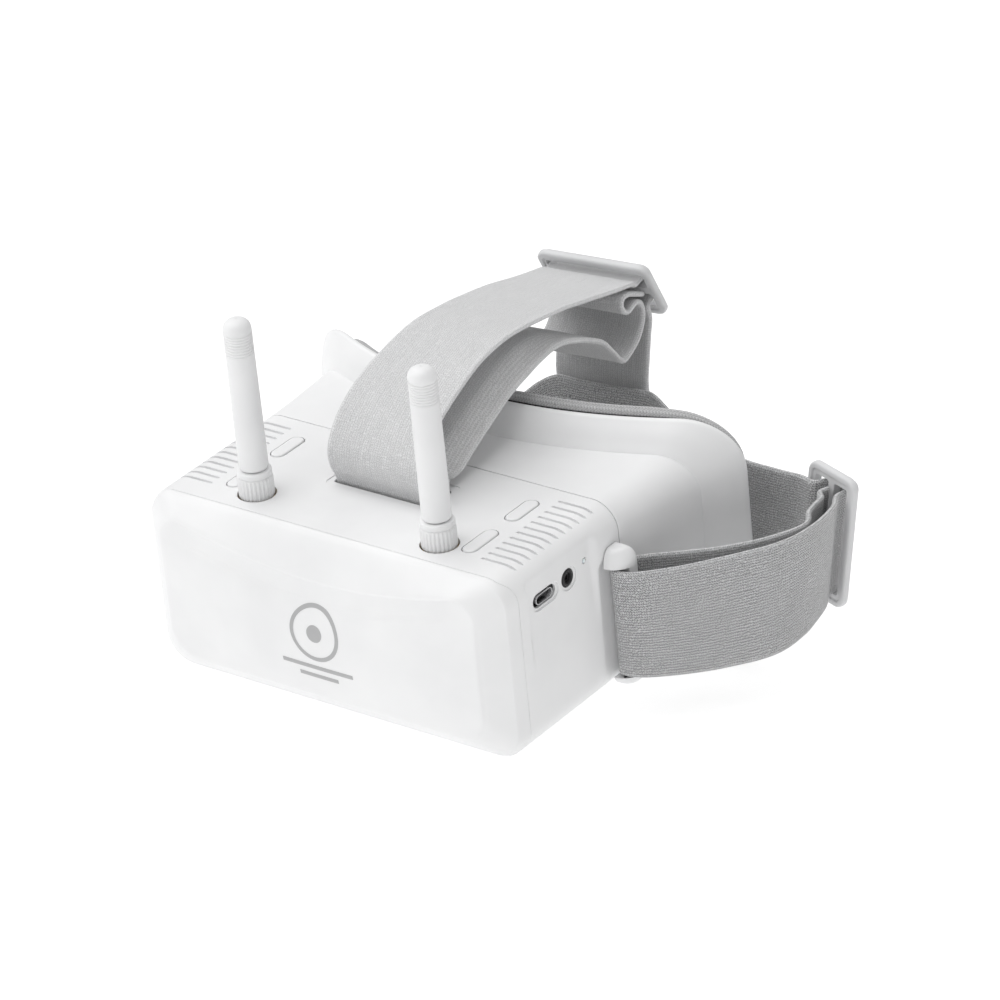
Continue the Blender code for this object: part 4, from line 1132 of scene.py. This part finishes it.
lensRows = ((60, 28, 56.6), (86, 44, 57.2), (89, 46, 58.0), (96.4, 49.4, 58.0), (97, 50, 58.3), (97, 50, 59.7),
    (96.4, 49.4, 60.0), (93, 46.6, 60.3), (92, 46, 60.5))
lens = stack("viewing_lens", [(panel(0, optics["z"], w, h, 5.0, 12), y) for w, h, y in lensRows])
settle(sharpen(lens, 30), clearLens, stands=["fresnel_lens"])

screwRows = [(0.4, 55.0), (1.0, 55.5), (1.0, 62.9), (2.1, 62.9), (2.12, 63.1), (2.05, 63.4), (1.8, 63.68),
    (1.3, 63.84), (0.5, 63.9)]
for i, (x, z) in enumerate(optics["screws"]):
    screw = stack(f"lens_fixing_{i + 1}", [(disc(x, z, r, 36), y) for r, y in screwRows])
    carve(screw, [bar("cross", panel(x, z, *size, 0.12, 2), 63.35, 65) for size in ((2.5, 0.5), (0.5, 2.5))])
    settle(sharpen(screw, 35), tinnedSteel, stands=[f"lens_screw_{i + 1}"])
print("optics made")

# Nodes whose shape already does keep their own mesh and only take a finish
finishes = dict(display_panel=darkScreen, display_frame=mattBlack, light_hood=mattBlack, main_board=greenBoard,
    port_board=greenBoard, button_board=greenBoard, battery_pack=foilSilver, battery_lead=bootBlack,
    aerial_lead=bootBlack, display_flex=amberFilm, receiver=tinnedSteel, buzzer=mattBlack, switch=mattBlack,
    antenna_jack=goldPlate, display_screw=tinnedSteel)
for name, node in nodes.items():
    for start, finish in finishes.items():
        if name.startswith(start):
            node.data.materials.clear()
            node.data.materials.append(finish)

# Plain pale floor, soft studio light and the camera
studio = dict(floor=0.45, glow=0.72, world=0.33, key=0.92, cameraAt=(1.09505, -1.39539, 0.68099),
    aimAt=(0.04409, 0.03835, 0.0106), roll=0.658, lens=203.155)
floorMesh = bpy.data.meshes.new("pale_floor")
floorMesh.from_pydata([(-8, -8, 0), (8, -8, 0), (8, 8, 0), (-8, 8, 0)], [], [(0, 1, 2, 3)])
floor = placed("pale_floor", floorMesh)
floor.location.z = cadBox[0][2] - 0.0004
floorFinish = Finish("pale_floor")
shade = studio["floor"]
mottle = floorFinish.grain(6.0, floorFinish.place())
floorFinish.set(colour=floorFinish.blend(mottle, (shade,) * 3, (shade * 0.995,) * 3), rough=0.9, specular=0.1,
    glow=(1, 1, 1, 1), glowPower=studio["glow"])
floorMesh.materials.append(floorFinish.material)


def softSun(name, toward, strength, spread):
    data = bpy.data.lights.new(name, "SUN")
    data.energy, data.angle = strength, spread
    placed(name, data).rotation_euler = Vector(toward).to_track_quat("Z", "Y").to_euler()


softSun("key_sun", (-0.25, -0.26, 0.6), 2.1 * studio["key"], 1.4)
softSun("top_sun", (0.05, 0.3, 1.0), 0.85 * studio["key"], 2.2)
world = bpy.data.worlds.new("studio_world")
bpy.context.scene.world = world
world.use_nodes = True
sky = world.node_tree.nodes["Background"].inputs
sky["Color"].default_value, sky["Strength"].default_value = (1, 1, 1, 1), studio["world"]
bpy.context.scene.view_settings.view_transform = "Standard"

cameraData = bpy.data.cameras.new("camera")
camera = placed("camera", cameraData)
camera.location = boxZero + Vector(studio["cameraAt"])
ray = (Vector(studio["aimAt"]) - Vector(studio["cameraAt"])).normalized()
rolled = Matrix.Rotation(math.radians(studio["roll"]), 3, "Z")
camera.rotation_euler = (ray.to_track_quat("-Z", "Y").to_matrix() @ rolled).to_euler()
cameraData.lens, cameraData.sensor_width = studio["lens"], 36.0
cameraData.clip_start, cameraData.clip_end = 0.05, 30.0
bpy.context.scene.camera = camera

for name, node in nodes.items():
    if not node.data.materials:
        print("no finish yet on", name)
